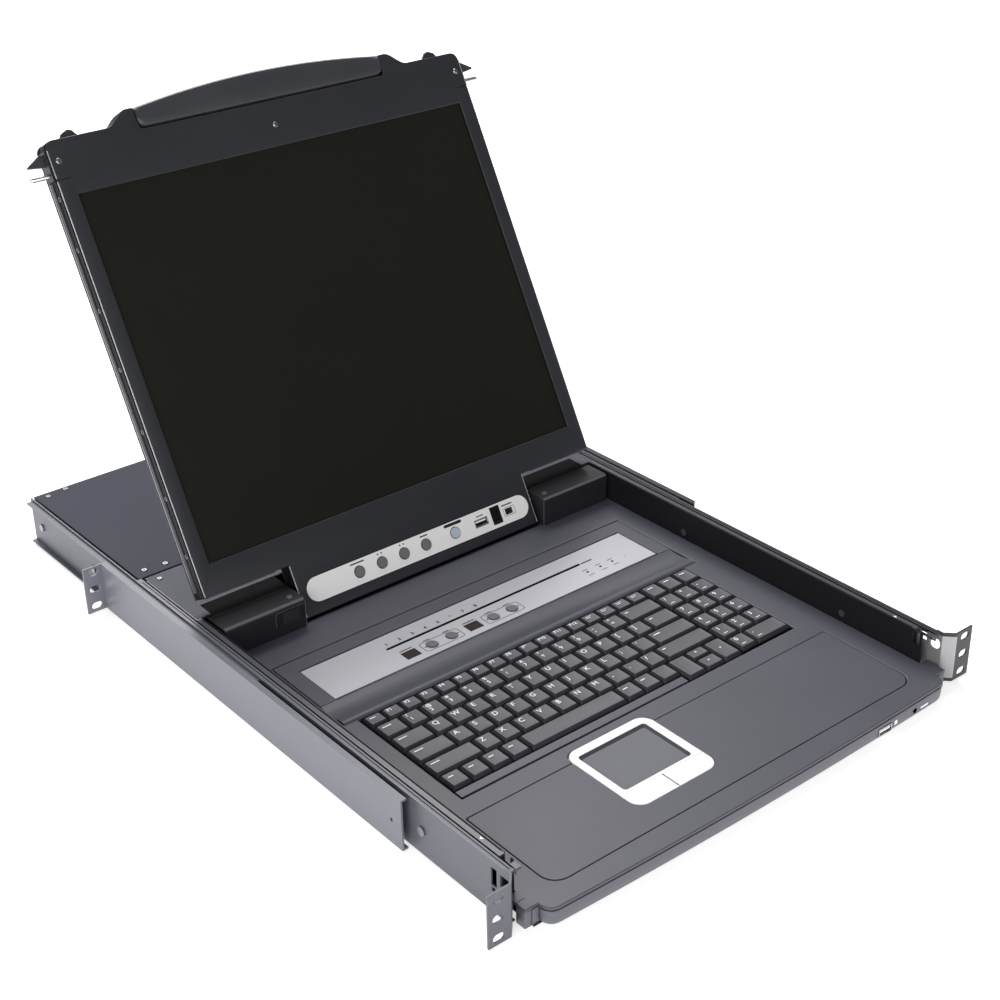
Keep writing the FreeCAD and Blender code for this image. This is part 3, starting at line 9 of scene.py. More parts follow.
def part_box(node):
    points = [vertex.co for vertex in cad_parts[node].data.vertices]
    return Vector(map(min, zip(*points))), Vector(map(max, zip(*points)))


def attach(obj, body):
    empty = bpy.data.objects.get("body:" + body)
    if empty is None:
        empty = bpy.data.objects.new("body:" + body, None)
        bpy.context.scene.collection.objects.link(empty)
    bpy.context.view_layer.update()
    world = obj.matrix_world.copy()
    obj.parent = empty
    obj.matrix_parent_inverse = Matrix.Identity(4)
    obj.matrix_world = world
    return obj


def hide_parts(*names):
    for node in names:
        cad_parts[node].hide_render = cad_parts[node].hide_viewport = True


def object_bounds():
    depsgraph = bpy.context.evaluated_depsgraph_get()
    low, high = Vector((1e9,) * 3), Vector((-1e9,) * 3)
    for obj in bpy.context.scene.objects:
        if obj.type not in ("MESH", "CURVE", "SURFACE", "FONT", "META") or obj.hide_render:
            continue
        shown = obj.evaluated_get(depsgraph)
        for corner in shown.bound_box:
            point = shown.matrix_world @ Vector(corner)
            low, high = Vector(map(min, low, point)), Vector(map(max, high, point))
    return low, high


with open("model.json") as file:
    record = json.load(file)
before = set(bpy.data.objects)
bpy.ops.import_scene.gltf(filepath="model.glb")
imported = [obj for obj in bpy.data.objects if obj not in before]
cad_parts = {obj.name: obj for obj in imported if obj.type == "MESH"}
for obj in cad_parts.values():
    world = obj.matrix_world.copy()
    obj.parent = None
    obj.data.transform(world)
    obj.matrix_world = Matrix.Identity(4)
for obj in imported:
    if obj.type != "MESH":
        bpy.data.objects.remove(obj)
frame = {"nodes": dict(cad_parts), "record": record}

# Sizes in this script are millimetres in the object's frame; MM turns them into metres.
MM = 0.001
CAD_BOX = [list(corner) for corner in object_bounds()]
JOINTS = {joint["name"]: joint for joint in frame["record"]["behaviour"]["joints"]}
HINGE = Vector(JOINTS["lid_hinge"]["pos_m"])
OPEN_ANGLE = JOINTS["lid_hinge"]["range_deg"][1]
LID = Matrix.Translation(HINGE) @ Matrix.Rotation(math.radians(180 - OPEN_ANGLE), 4, "X")
SIDES = {"left": -1, "right": 1}
OUTWARDS = {"left": "-x", "right": "x"}
# Faces that meet at more than these angles, in degrees, stay sharp or get a rounded edge.
SHARP_ANGLE, BEVEL_ANGLE = 32, 40


def span(node):
    """Low and high corner of a CAD node in millimetres."""
    low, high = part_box(node)
    return [v / MM for v in low], [v / MM for v in high]


def lid_span(node):
    """The same in lid coordinates: across, up the lid from its hinge axis, out of its face."""
    back = LID.inverted()
    points = [back @ vertex.co for vertex in frame["nodes"][node].data.vertices]
    low = [min(point[axis] for point in points) / MM for axis in range(3)]
    high = [max(point[axis] for point in points) / MM for axis in range(3)]
    return low, high


# ---- materials -----------------------------------------------------------------------------

def linear(value):
    """Linear value of an 8-bit display grey."""
    share = value / 255
    return share / 12.92 if share <= 0.04045 else ((share + 0.055) / 1.055) ** 2.4


def colour(red, green, blue):
    """Linear colour of an 8-bit display colour."""
    return (linear(red), linear(green), linear(blue), 1)


def toned(tone, factor, lift=0.0):
    """The tone made lighter or darker."""
    return tuple(min(1, channel * factor + lift) for channel in tone[:3]) + (1,)


def feed(tree, socket, source):
    """Link another node's output into a socket, or set the socket to a plain value."""
    if isinstance(source, bpy.types.NodeSocket):
        tree.links.new(source, socket)
    else:
        socket.default_value = source


def noise(tree, place, size, detail, distortion=0.0):
    """Noise with cells about size millimetres across."""
    node = tree.nodes.new("ShaderNodeTexNoise")
    for name, source in (("Vector", place), ("Scale", 1 / (size * MM)), ("Detail", detail),
                         ("Distortion", distortion)):
        feed(tree, node.inputs[name], source)
    return node.outputs["Fac"]


def maths(tree, operation, *sources):
    """Result of one sum on outputs or plain values."""
    node = tree.nodes.new("ShaderNodeMath")
    node.operation = operation
    for socket, source in zip(node.inputs, sources):
        feed(tree, socket, source)
    return node.outputs[0]


def mixed(tree, share, first, second):
    """Colour between two others."""
    node = tree.nodes.new("ShaderNodeMix")
    node.data_type = "RGBA"
    factor, first_colour, second_colour = node.inputs[0], node.inputs[6], node.inputs[7]
    for socket, source in ((factor, share), (first_colour, first), (second_colour, second)):
        feed(tree, socket, source)
    return node.outputs[2]


def remap(tree, source, **ends):
    """The source stretched from one range to another, from 0..1 to 0..1 where not given."""
    node = tree.nodes.new("ShaderNodeMapRange")
    for end, value in ends.items():
        node.inputs[end.replace("_", " ").title()].default_value = value
    tree.links.new(source, node.inputs["Value"])
    return node.outputs["Result"]


BROAD_CELL, SCUFF_CELL = 60, 9
ROUGHNESS_SWING = 0.06


def finish(name, tone, rough, grain=0.6, depth=0.02, mottle=0.06, metal=0.0, coat=0.0,
           stretch=(1, 1, 1), shine=0.5, wear=0.05):
    """Procedural surface: mottled colour and roughness, rubbed patches and a fine grain.

    grain is the size of one grain in millimetres, depth its height; stretch draws the
    pattern out along an axis, for brushed metal; wear is how far the rubbed patches fade."""
    material = bpy.data.materials.new(name)
    material.use_nodes = True
    tree = material.node_tree
    scale = tree.nodes.new("ShaderNodeMapping")
    feed(tree, scale.inputs["Scale"], stretch)
    feed(tree, scale.inputs["Vector"], tree.nodes.new("ShaderNodeTexCoord").outputs["Object"])
    place = scale.outputs["Vector"]
    broad = noise(tree, place, BROAD_CELL, 4)
    fine = noise(tree, place, grain, 2)
    scuff = noise(tree, place, SCUFF_CELL, 8, 1.5)
    blend = maths(tree, "ADD", maths(tree, "MULTIPLY_ADD", fine, 0.5, 0.25),
                  maths(tree, "SUBTRACT", broad, 0.5))
    shade = mixed(tree, blend, toned(tone, 1 - mottle), toned(tone, 1 + mottle))
    worn = remap(tree, scuff, from_min=0.62, from_max=0.72, to_max=wear)
    bump = tree.nodes.new("ShaderNodeBump")
    for socket, source in (("Strength", 0.6), ("Distance", depth * MM), ("Height", fine)):
        feed(tree, bump.inputs[socket], source)
    gloss = remap(tree, broad, to_min=rough - ROUGHNESS_SWING, to_max=rough + ROUGHNESS_SWING)
    shader = tree.nodes["Principled BSDF"]
    for socket, source in (
        ("Metallic", metal), ("Coat Weight", coat), ("Coat Roughness", 0.25), ("Roughness", gloss),
        ("Specular IOR Level", shine), ("Normal", bump.outputs["Normal"]),
        ("Base Color", mixed(tree, worn, shade, toned(tone, 1.5, 0.02))),
    ):
        feed(tree, shader.inputs[socket], source)
    return material


DECK = finish("deck_plastic", colour(82, 82, 92), 0.42, grain=0.5, depth=0.03, shine=0.42)
KEY = finish("key_plastic", colour(88, 88, 95), 0.45, grain=0.4, depth=0.015)
# Painted shade: darker copy of the key plastic for the steep sides of the caps.
KEY_SIDE_SHADE = finish("key_side_painted_shade", colour(44, 44, 48), 0.5, grain=0.4, depth=0.015)
NOSE = finish("nose_satin", colour(98, 98, 106), 0.36, grain=0.5, depth=0.02)
LID_PLASTIC = finish("lid_plastic", colour(44, 45, 50), 0.42, grain=0.5, depth=0.02, shine=0.3)
LID_SIDE = finish("lid_side", colour(17, 17, 19), 0.5, grain=0.5, depth=0.02, shine=0.2)
# Painted highlight: lighter copy of the lid plastic for bright edges, ribs and lines.
LID_EDGE_HIGHLIGHT = finish("lid_edge", colour(92, 93, 99), 0.3, grain=0.5, depth=0.01, coat=0.3)
# Painted highlight: light colour for the rolled lid foot and the rail's outer edge.
ROLL_EDGE_HIGHLIGHT = finish("rolled_edge", colour(96, 97, 104), 0.3, grain=0.5, depth=0.01, coat=0.4)
HANDLE = finish("handle_plastic", colour(56, 57, 61), 0.36, grain=0.5, depth=0.02)
CASE = finish("case_coat", colour(38, 38, 41), 0.34, grain=0.7, depth=0.03, shine=0.3)
# Painted shade: darker, duller copy of the case coat for the shelf under the lid.
HINGE_SHELF_SHADE = finish("hinge_shelf_painted_shade", colour(27, 27, 29), 0.75, grain=0.7, depth=0.03, shine=0.04)
TRAY = finish("tray_coat", colour(28, 28, 31), 0.42, grain=0.7, depth=0.03, shine=0.25)
COVER = finish("cover_coat", colour(76, 77, 87), 0.55, grain=0.7, depth=0.04, shine=0.25)
CHASSIS_TOP = finish("chassis_top_coat", colour(66, 67, 78), 0.6, grain=0.7, depth=0.04, shine=0.1)
RAIL = finish("rail_coat", colour(94, 95, 104), 0.4, grain=0.7, depth=0.03)
# Painted shade: darker copy of the rail coat for the right rail and bracket.
RAIL_SHADE = finish("rail_coat_painted_shade", colour(58, 59, 64), 0.45, grain=0.7, depth=0.03, shine=0.35)
BRACKET = finish("bracket_coat", colour(116, 117, 126), 0.38, grain=0.7, depth=0.03)
SLIDE = finish("slide_coat", colour(68, 69, 75), 0.36, grain=0.7, depth=0.02, coat=0.2)
STEEL = finish("bare_steel", colour(205, 205, 207), 0.28, grain=0.25, depth=0.004, metal=1.0,
               stretch=(1, 1, 0.04))
# Painted highlight: bright metallic colour for the lid's front corner lines.
CORNER_HIGHLIGHT = finish("painted_corner_highlight", colour(205, 206, 210), 0.3, grain=0.3, depth=0.002, metal=0.4)
RUBBED = finish("rubbed_steel", colour(168, 168, 170), 0.32, grain=0.25, depth=0.004, metal=0.45,
                stretch=(1, 1, 0.04))
PIN_STEEL = finish("pin_steel", colour(225, 225, 226), 0.22, grain=0.3, depth=0.002, metal=1.0)
SCREW = finish("screw_steel", colour(150, 150, 154), 0.35, grain=0.3, depth=0.004, metal=1.0)
PLATE = finish("silver_plate", colour(196, 196, 202), 0.36, grain=0.25, depth=0.003, mottle=0.03,
               metal=0.25, stretch=(0.05, 1, 1), wear=0.01)
STRIP = finish("strip_silver", colour(244, 244, 243), 0.4, grain=0.4, depth=0.004, mottle=0.02, wear=0)
WHITE = finish("pad_white", colour(250, 250, 251), 0.35, grain=0.5, depth=0.004, mottle=0.01, wear=0)
PAD = finish("pad_surface", colour(107, 107, 116), 0.55, grain=0.25, depth=0.01)
# Painted shade: grey for the shaded sloped wall of the touchpad opening.
PAD_WALL_SHADE = finish("pad_wall_painted_shade", colour(70, 71, 76), 0.4, grain=0.4, depth=0.01)
SCREEN = finish("screen_glare_coat", colour(30, 30, 26), 0.3, grain=0.15, depth=0.003, mottle=0.02,
                shine=0.12, wear=0)
BUTTON = finish("button_grey", colour(112, 113, 118), 0.32, grain=0.4, depth=0.004)
LIT_BUTTON = finish("lit_button", colour(186, 196, 210), 0.3, grain=0.4, depth=0.004)
WINDOW = finish("display_window", colour(58, 50, 50), 0.15, grain=0.6, depth=0.002, mottle=0.03)
SOCKET = finish("socket_black", colour(16, 16, 17), 0.5, grain=0.4, depth=0.01, shine=0.3)
INK_DARK = finish("ink_dark", colour(20, 20, 23), 0.6, grain=0.3, depth=0.001, mottle=0.02, wear=0)
INK_LIGHT = finish("ink_light", colour(252, 252, 253), 0.6, grain=0.3, depth=0.001, mottle=0.02,
                   wear=0)
BOARD = finish("board_green", colour(26, 92, 52), 0.45, grain=0.8, depth=0.01)
# Painted shadow: near-black matte put in gaps, holes and under parts where there is only shade.
SHADOW = finish("shadow_gap", colour(10, 10, 11), 0.9, grain=0.5, depth=0.01, shine=0.05)


# ---- mesh helpers --------------------------------------------------------------------------

def round_edges(piece, radius, segments):
    """Bevel on the sharp edges of a piece."""
    edge = piece.modifiers.new("edge", "BEVEL")
    edge.width = radius * MM
    edge.segments = segments
    edge.limit_method = "ANGLE"
    edge.angle_limit = math.radians(BEVEL_ANGLE)
    edge.use_clamp_overlap = True


def keep(name, mesh, material, body="console", stands_for=(), on_lid=False, smooth=True, slot=None,
         edge_round=0.0):
    """Turn a mesh in millimetres into a finished piece that rides on its body."""
    mesh.transform(Matrix.Diagonal((MM, MM, MM, 1)))
    if on_lid:
        mesh.transform(LID)
    mesh.name = name
    mesh.materials.clear()
    mesh.materials.append(material)
    piece = bpy.data.objects.new(name, mesh)
    bpy.context.scene.collection.objects.link(piece)
    if smooth:
        mesh.shade_smooth()
        mesh.set_sharp_from_angle(angle=math.radians(SHARP_ANGLE))
    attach(piece, body)
    if stands_for:
        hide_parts(*stands_for)
    if edge_round:
        round_edges(piece, edge_round, 3)
    return piece


def lid_piece(name, mesh, material, body="lid", **options):
    """Piece drawn in lid coordinates."""
    return keep(name, mesh, material, body, on_lid=True, **options)


def printed(name, marks, ink, body="console", **options):
    """Flat print made of many marks."""
    return keep(name, joined(marks), ink, body, smooth=False, **options)


def mirrored(side, inner, outer):
    """Low and high X of a stretch that runs outwards from inner to outer on one side."""
    return sorted((side * inner, side * outer))


def rounded(left, front, right, rear, radius, steps=6):
    """Rounded rectangle, anticlockwise."""
    return soften([(left, front, radius), (right, front, radius), (right, rear, radius),
                   (left, rear, radius)], steps)


def circle(x, y, radius, steps):
    """Circle as a closed outline, anticlockwise."""
    return [(x + radius * math.cos(math.tau * i / steps), y + radius * math.sin(math.tau * i / steps))
            for i in range(steps)]


def arc(cx, cy, radius, start, end, steps=6):
    """Points along an arc, its ends in degrees."""
    points = []
    for step in range(steps + 1):
        angle = math.radians(start + (end - start) * step / steps)
        points.append((cx + radius * math.cos(angle), cy + radius * math.sin(angle)))
    return points


def soften(corners, steps=6):
    """Closed outline whose corners (x, y, radius) are rounded off by arcs."""
    loop = []
    count = len(corners)
    for index, (x, y, radius) in enumerate(corners):
        if radius <= 0:
            loop.append((x, y))
            continue
        here = Vector((x, y))
        before = (Vector(corners[index - 1][:2]) - here).normalized()
        after = (Vector(corners[(index + 1) % count][:2]) - here).normalized()
        half = before.angle(after) / 2
        run = radius / math.tan(half)
        start, end = here + before * run, here + after * run
        centre = here + (before + after).normalized() * (radius / math.sin(half))
        first = start - centre
        turn = first.angle_signed(end - centre)
        for step in range(steps + 1):
            arm = Matrix.Rotation(-turn * step / steps, 2) @ first
            loop.append(tuple(centre + arm))
    return loop


def area_sign(loop):
    """1 for an anticlockwise outline, -1 for a clockwise one."""
    total = 0
    for (x0, y0), (x1, y1) in zip(loop, loop[1:] + loop[:1]):
        total += x0 * y1 - x1 * y0
    return 1 if total > 0 else -1


def plate_mesh(loops, low, high, edge=0.3):
    """Flat plate from outlines (the first is its edge, the rest are holes), edges rounded."""
    curve = bpy.data.curves.new("outline", "CURVE")
    curve.dimensions = "2D"
    curve.fill_mode = "BOTH"
    for index, loop in enumerate(loops):
        wanted = 1 if index == 0 else -1
        points = loop if area_sign(loop) == wanted else loop[::-1]
        spline = curve.splines.new("POLY")
        spline.points.add(len(points) - 1)
        for point, (x, y) in zip(spline.points, points):
            point.co = (x, y, 0, 1)
        spline.use_cyclic_u = True
    curve.extrude = (high - low) / 2 - edge
    curve.bevel_depth = edge
    curve.bevel_resolution = 2
    curve.offset = -edge
    carrier = bpy.data.objects.new("outline", curve)
    mesh = bpy.data.meshes.new_from_object(carrier)
    mesh.transform(Matrix.Translation((0, 0, (low + high) / 2)))
    bpy.data.objects.remove(carrier)
    return mesh


def plate(name, loops, low, high, material, edge=0.3, **options):
    """Plate that rides on the console."""
    return keep(name, plate_mesh(loops, low, high, edge), material, **options)


def loft_mesh(rings, closed_ends=True):
    """Skin through rings of equal point count; each ring is a list of (x, y, z)."""
    mesh = bpy.data.meshes.new("skin")
    shape = bmesh.new()
    levels = [[shape.verts.new(point) for point in ring] for ring in rings]
    count = len(levels[0])
    for lower, upper in zip(levels, levels[1:]):
        for index in range(count):
            after = (index + 1) % count
            shape.faces.new((lower[index], lower[after], upper[after], upper[index]))
    if closed_ends:
        shape.faces.new(levels[0][::-1])
        shape.faces.new(levels[-1])
    bmesh.ops.recalc_face_normals(shape, faces=shape.faces)
    shape.to_mesh(mesh)
    shape.free()
    return mesh


def extruded_mesh(profile, low, high):
    """Profile of (y, z) points drawn along X."""
    return loft_mesh([[(x, y, z) for y, z in profile] for x in (low, high)])


def turned_mesh(profile, centre, axis="z", steps=32):
    """Solid of revolution from (radius, height) points, standing on centre along an axis."""
    turn = {"z": Matrix.Identity(4), "x": Matrix.Rotation(math.pi / 2, 4, "Y"),
            "-x": Matrix.Rotation(-math.pi / 2, 4, "Y"),
            "y": Matrix.Rotation(-math.pi / 2, 4, "X")}[axis]
    rings = [[(x, y, height) for x, y in circle(0, 0, radius, steps)] for radius, height in profile]
    mesh = loft_mesh(rings)
    mesh.transform(Matrix.Translation(centre) @ turn)
    return mesh


def joined(meshes):
    """One mesh from several."""
    shape = bmesh.new()
    for mesh in meshes:
        shape.from_mesh(mesh)
    merged = bpy.data.meshes.new("joined")
    shape.to_mesh(merged)
    shape.free()
    return merged


def glyph_mesh(text, x, y, z, height, bold):
    """Flat printed character, its lower left corner at x, y."""
    curve = bpy.data.curves.new("glyph", "FONT")
    curve.body = text
    curve.size = height * 1.4
    curve.offset = bold
    carrier = bpy.data.objects.new("glyph", curve)
    mesh = bpy.data.meshes.new_from_object(carrier)
    bpy.data.objects.remove(carrier)
    mesh.transform(Matrix.Translation((x, y, z)))
    return mesh


def mark_mesh(points, z):
    """Flat printed polygon."""
    mesh = bpy.data.meshes.new("mark")
    mesh.from_pydata([(x, y, z) for x, y in points], [], [tuple(range(len(points)))])
    return mesh


def dash(x, y, wide, high, z):
    """Flat printed bar, its lower left corner at x, y."""
    return mark_mesh([(x, y), (x + wide, y), (x + wide, y + high), (x, y + high)], z)


def carry_over(node, material, bevel):
    """Keep a CAD node, with rounded edges and a finished material."""
    piece = frame["nodes"][node]
    for slot in piece.material_slots:
        slot.material = material
    if not piece.data.materials:
        piece.data.materials.append(material)
    if bevel:
        round_edges(piece, bevel, 2)


def box_mesh(low, high):
    """Plain box between two corners."""
    x0, y0, z0 = low
    x1, y1, z1 = high
    ring = [(x0, y0), (x1, y0), (x1, y1), (x0, y1)]
    return loft_mesh([[(x, y, z0) for x, y in ring], [(x, y, z1) for x, y in ring]])


def carved(mesh, cutters):
    """The mesh with closed cutter meshes taken away from it."""
    scene = bpy.context.scene
    body = bpy.data.objects.new("carving", mesh)
    scene.collection.objects.link(body)
    spent = [body]
    for cutter in cutters:
        tool = bpy.data.objects.new("cutter", cutter)
        scene.collection.objects.link(tool)
        step = body.modifiers.new("cut", "BOOLEAN")
        step.operation = "DIFFERENCE"
        step.solver = "EXACT"
        step.object = tool
        spent.append(tool)
    bpy.context.view_layer.update()
    result = bpy.data.meshes.new_from_object(
        body.evaluated_get(bpy.context.evaluated_depsgraph_get()))
    for item in spent:
        bpy.data.objects.remove(item)
    return result


def ring_outline(centre, radius, width, z):
    """Flat printed ring."""
    steps = 32
    mesh = bpy.data.meshes.new("ring")
    inner = circle(centre[0], centre[1], radius - width, steps)
    outer = circle(centre[0], centre[1], radius, steps)
    points = [(x, y, z) for x, y in inner + outer]
    faces = []
    for index in range(steps):
        after = (index + 1) % steps
        faces.append((index, after, steps + after, steps + index))
    mesh.from_pydata(points, [], faces)
    return mesh


def loop_line(loop, width, z):
    """Flat printed line that follows a closed outline."""
    mesh = bpy.data.meshes.new("line")
    count = len(loop)
    points, faces = [], []
    for index, (x, y) in enumerate(loop):
        before = Vector(loop[index - 1])
        after = Vector(loop[(index + 1) % count])
        along = (after - before).normalized()
        out = Vector((along.y, -along.x)) * width / 2
        points += [(x - out.x, y - out.y, z), (x + out.x, y + out.y, z)]
    for index in range(count):
        after = (index + 1) % count
        faces.append((2 * index, 2 * index + 1, 2 * after + 1, 2 * after))
    mesh.from_pydata(points, [], faces)
    return mesh


def solids(node):
    """Low and high corners, in millimetres, of each separate solid of a CAD node."""
    shape = bmesh.new()
    shape.from_mesh(frame["nodes"][node].data)
    bmesh.ops.remove_doubles(shape, verts=shape.verts, dist=0.01 * MM)
    found, seen = [], set()
    for seed in shape.verts:
        if seed in seen:
            continue
        stack, members = [seed], []
        seen.add(seed)
        while stack:
            vertex = stack.pop()
            members.append(vertex.co / MM)
            for edge in vertex.link_edges:
                other = edge.other_vert(vertex)
                if other not in seen:
                    seen.add(other)
                    stack.append(other)
        low = [min(point[axis] for point in members) for axis in range(3)]
        high = [max(point[axis] for point in members) for axis in range(3)]
        found.append((low, high))
    shape.free()
    return sorted(found, key=lambda pair: (round(pair[0][1]), pair[0][0]))


# ---- nodes kept from the CAD ------------------------------------------------------------------

CARRIED = (
    (RAIL, 0.5, ["outer_rail_left"]),
    (BRACKET, 0.5, ["rear_bracket_left"]),
    # Painted shade: the right rail and its bracket take the darker rail coat.
    (RAIL_SHADE, 0.5, ["outer_rail_right", "rear_bracket_right"]),
    (RAIL, 0.35, ["bracket_guide_left", "bracket_guide_right"]),
    (SLIDE, 0.35, ["inner_rail_left", "inner_rail_right"]),
    (TRAY, 0.3, ["console_tray"]),
    (COVER, 0.35, ["chassis_base", "rear_cover"]),
    (CHASSIS_TOP, 0.35, ["chassis_cover"]),
    (SCREW, 0.12, ["chassis_screws", "console_screws", "lid_screws"]),
    (BOARD, 0, ["kvm_board", "console_board", "lid_boards"]),
    (STEEL, 0.3, ["power_supply", "hinge_shafts"]),
    (STEEL, 0.1, ["front_usb_port"]),
    (SOCKET, 0.3, ["power_inlet"]),
    (SOCKET, 0.2, ["computer_ports", "osd_slide_switch"]),
    # Painted shadow: the key well takes the shadow colour.
    (SHADOW, 0, ["keyboard_base"]),
    (DECK, 0.4, ["keyboard_trim_bar"]),
    (LID_PLASTIC, 0.4, ["lid_lock_slider"]),
    (WINDOW, 0.1, ["port_displays"]),
    (PAD, 0.2, ["touchpad_surface"]),
    (PLATE, 0.15, ["port_panel_plate"]),
    (WHITE, 0.06, ["touchpad_frame", "touchpad_button_left", "touchpad_button_right"]),
    (STRIP, 0.1, ["osd_strip"]),
    (SCREEN, 0, ["lcd_panel"]),
    (BUTTON, 0.4, ["port_down_button", "port_up_button", "station_down_button",
                   "station_up_button", "osd_exit_button", "osd_down_button", "osd_up_button",
                   "osd_menu_button"]),
    (LIT_BUTTON, 0.4, ["lcd_power_button"]),
)

for material, bevel, names in CARRIED:
    for name in names:
        carry_over(name, material, bevel)


# ---- deck and nose -------------------------------------------------------------------------

DECK_HIGH = span("keyboard_deck")[1]
NOSE_LOW, NOSE_HIGH = span("front_bezel")
TRAY_LOW, TRAY_HIGH = span("console_tray")
WELL_LOW, WELL_HIGH = span("keyboard_base")
PAD_LOW, PAD_HIGH = span("touchpad_frame")
PLATE_LOW, PLATE_HIGH = span("port_panel_plate")
DECK_TOP = DECK_HIGH[2]
DECK_FOOT = DECK_TOP - 2.5
DECK_GAP = 0.7
# Nose: straight run between its corners, how far its middle bows out, and its end blocks.
NOSE_HALF, NOSE_CORNER, BOW = 200.0, 9.0, 3.3
NOSE_FLAT = NOSE_HALF - NOSE_CORNER
SIDE_STEP, BLOCK_REAR = -0.4, 9.0
CORNER_HALF, CORNER_REAR = 211.0, 17.5
# Palm rest, and the touchpad's room in its rear edge.
PALM_HALF, PALM_FRONT, PALM_REAR, PALM_RADIUS, PALM_SQUARE = 182.0, 6.0, 96.4, 13.6, 1.5
PALM_GAP, PAD_GAP = 0.3, 0.35
PAD_RING = 3.5
PAD_LEFT, PAD_RIGHT = PAD_LOW[0] + PAD_RING - PAD_GAP, PAD_HIGH[0] - PAD_RING + PAD_GAP
TOUCH_FRONT, TOUCH_REAR = span("touchpad_button_left")[0][1], PAD_HIGH[1] - PAD_RING
# Control panel: side, rear edge, front of its rolled lip, front of the plate's recess.
PANEL_HALF, PANEL_REAR, LIP_FRONT, RECESS_FRONT = 182.0, 338.0, 240.4, 272.0
# Front of the nose: reset pinhole and the height of the printed marks.
RESET_X, RESET_Z, MARK_Z = 162.0, -15.2, -16.6


def nose_front(inset=0.0, corner_steps=6, steps=14):
    """Bowed front edge of the nose with its two rounded corners, from left to right."""
    flat = NOSE_FLAT - inset
    corner = arc(-flat, NOSE_LOW[1] + BOW + NOSE_CORNER + inset, NOSE_CORNER, 180, 270, corner_steps)
    corner = corner[:-1]
    points = []
    for step in range(steps + 1):
        x = -flat + 2 * flat * step / steps
        points.append((x, NOSE_LOW[1] + inset + BOW * (x / flat) ** 2))
    return corner + points + [(-x, y) for x, y in corner[::-1]]


def palm_outline(gap, pad_line, pad_radius):
    """Palm rest outline, drawn in by gap, with its rear edge cut back to the pad line."""
    half, front, rear = PALM_HALF - gap, PALM_FRONT + gap, PALM_REAR - gap
    return soften([
        (-half, front, PALM_RADIUS), (half, front, PALM_RADIUS), (half, rear, PALM_SQUARE),
        (PAD_RIGHT, rear, 0), (PAD_RIGHT, pad_line, pad_radius), (PAD_LEFT, pad_line, pad_radius),
        (PAD_LEFT, rear, 0), (-half, rear, PALM_SQUARE)])


def deck_pieces():
    """Deck moulding running out over the nose, palm rest set in a fine groove, and a dark sheet under
    them as painted shadow in the gaps.
    """
    half, block, rear = DECK_HIGH[0], NOSE_HIGH[0], DECK_HIGH[1]
    side = [(NOSE_HALF, SIDE_STEP), (block, SIDE_STEP), (block, BLOCK_REAR), (half, BLOCK_REAR),
            (half, rear)]
    outer = nose_front() + side + [(-x, y) for x, y in side[::-1]]
    left, front, right = WELL_LOW[0] + 2, WELL_LOW[1] + 2, WELL_HIGH[0] - 2
    panel, panel_rear = PANEL_HALF + DECK_GAP, PANEL_REAR + 1.3
    well = [(left, front), (right, front), (right, LIP_FRONT), (panel, LIP_FRONT),
            (panel, panel_rear), (-panel, panel_rear), (-panel, LIP_FRONT), (left, LIP_FRONT)]
    opening = palm_outline(-PALM_GAP, TOUCH_REAR + PAD_GAP, 10)
    plate("deck_top", [outer, opening, well], DECK_FOOT, DECK_TOP, DECK, edge=DECK_GAP,
          stands_for=["keyboard_deck"], slot="deck_plastic")
    plate("palm_rest", [palm_outline(PALM_GAP, TOUCH_FRONT - PAD_GAP, 12)], DECK_FOOT, DECK_TOP,
          DECK, edge=0.25, slot="deck_plastic")
    tub = rounded(PAD_LEFT + 2, TOUCH_FRONT + 2, PAD_RIGHT - 2, TOUCH_REAR - 2, 8)
    under = rounded(-half + 1, BLOCK_REAR + 1, half - 1, rear - 1, 2)
    keys = rounded(WELL_LOW[0], WELL_LOW[1], WELL_HIGH[0], LIP_FRONT - 1, 1)
    # Dark sheet under the deck: painted shadow in the gaps.
    plate("deck_gap_shadow", [under, tub, keys], DECK_FOOT - 0.5, DECK_FOOT - 0.1, SHADOW,
          edge=0.05)


def deck_corners():
    """Deck running out beside the rails as far as their web, just behind the nose."""
    for word, side in SIDES.items():
        low, high = mirrored(side, DECK_HIGH[0] - 1, CORNER_HALF)
        corner = rounded(low, BLOCK_REAR - 0.2, high, CORNER_REAR, 0.5, 2)
        plate("deck_corner_" + word, [corner], DECK_FOOT, DECK_TOP - 0.02, DECK,
              edge=0.3, slot="deck_plastic")


def nose_shell():
    """Front nose under the deck lip: dark groove, satin face rolled in at the foot."""
    levels = [(2.0, DECK_FOOT), (2.0, DECK_FOOT - 1.1), (0.25, DECK_FOOT - 1.2), (0.0, DECK_FOOT - 1.7),
              (0.1, -14.0), (0.5, -19.0), (1.5, -20.9), (3.2, NOSE_LOW[2])]
    rings = []
    for inset, z in levels:
        back = NOSE_HALF - inset
        loop = nose_front(inset) + [(back, -2.0), (-back, -2.0)]
        rings.append([(x, y, z) for x, y in loop])
    low, high = span("front_usb_port")
    gap = 0.5
    room = box_mesh((low[0] - gap, -20, low[2] - gap), (high[0] + gap, -1.0, high[2] + gap))
    pinhole = turned_mesh([(1.2, -5), (1.2, 5)], (RESET_X, -12, RESET_Z), "y", 20)
    keep("front_nose", carved(loft_mesh(rings), [room, pinhole]), NOSE,
         stands_for=["front_bezel"], slot="deck_plastic")


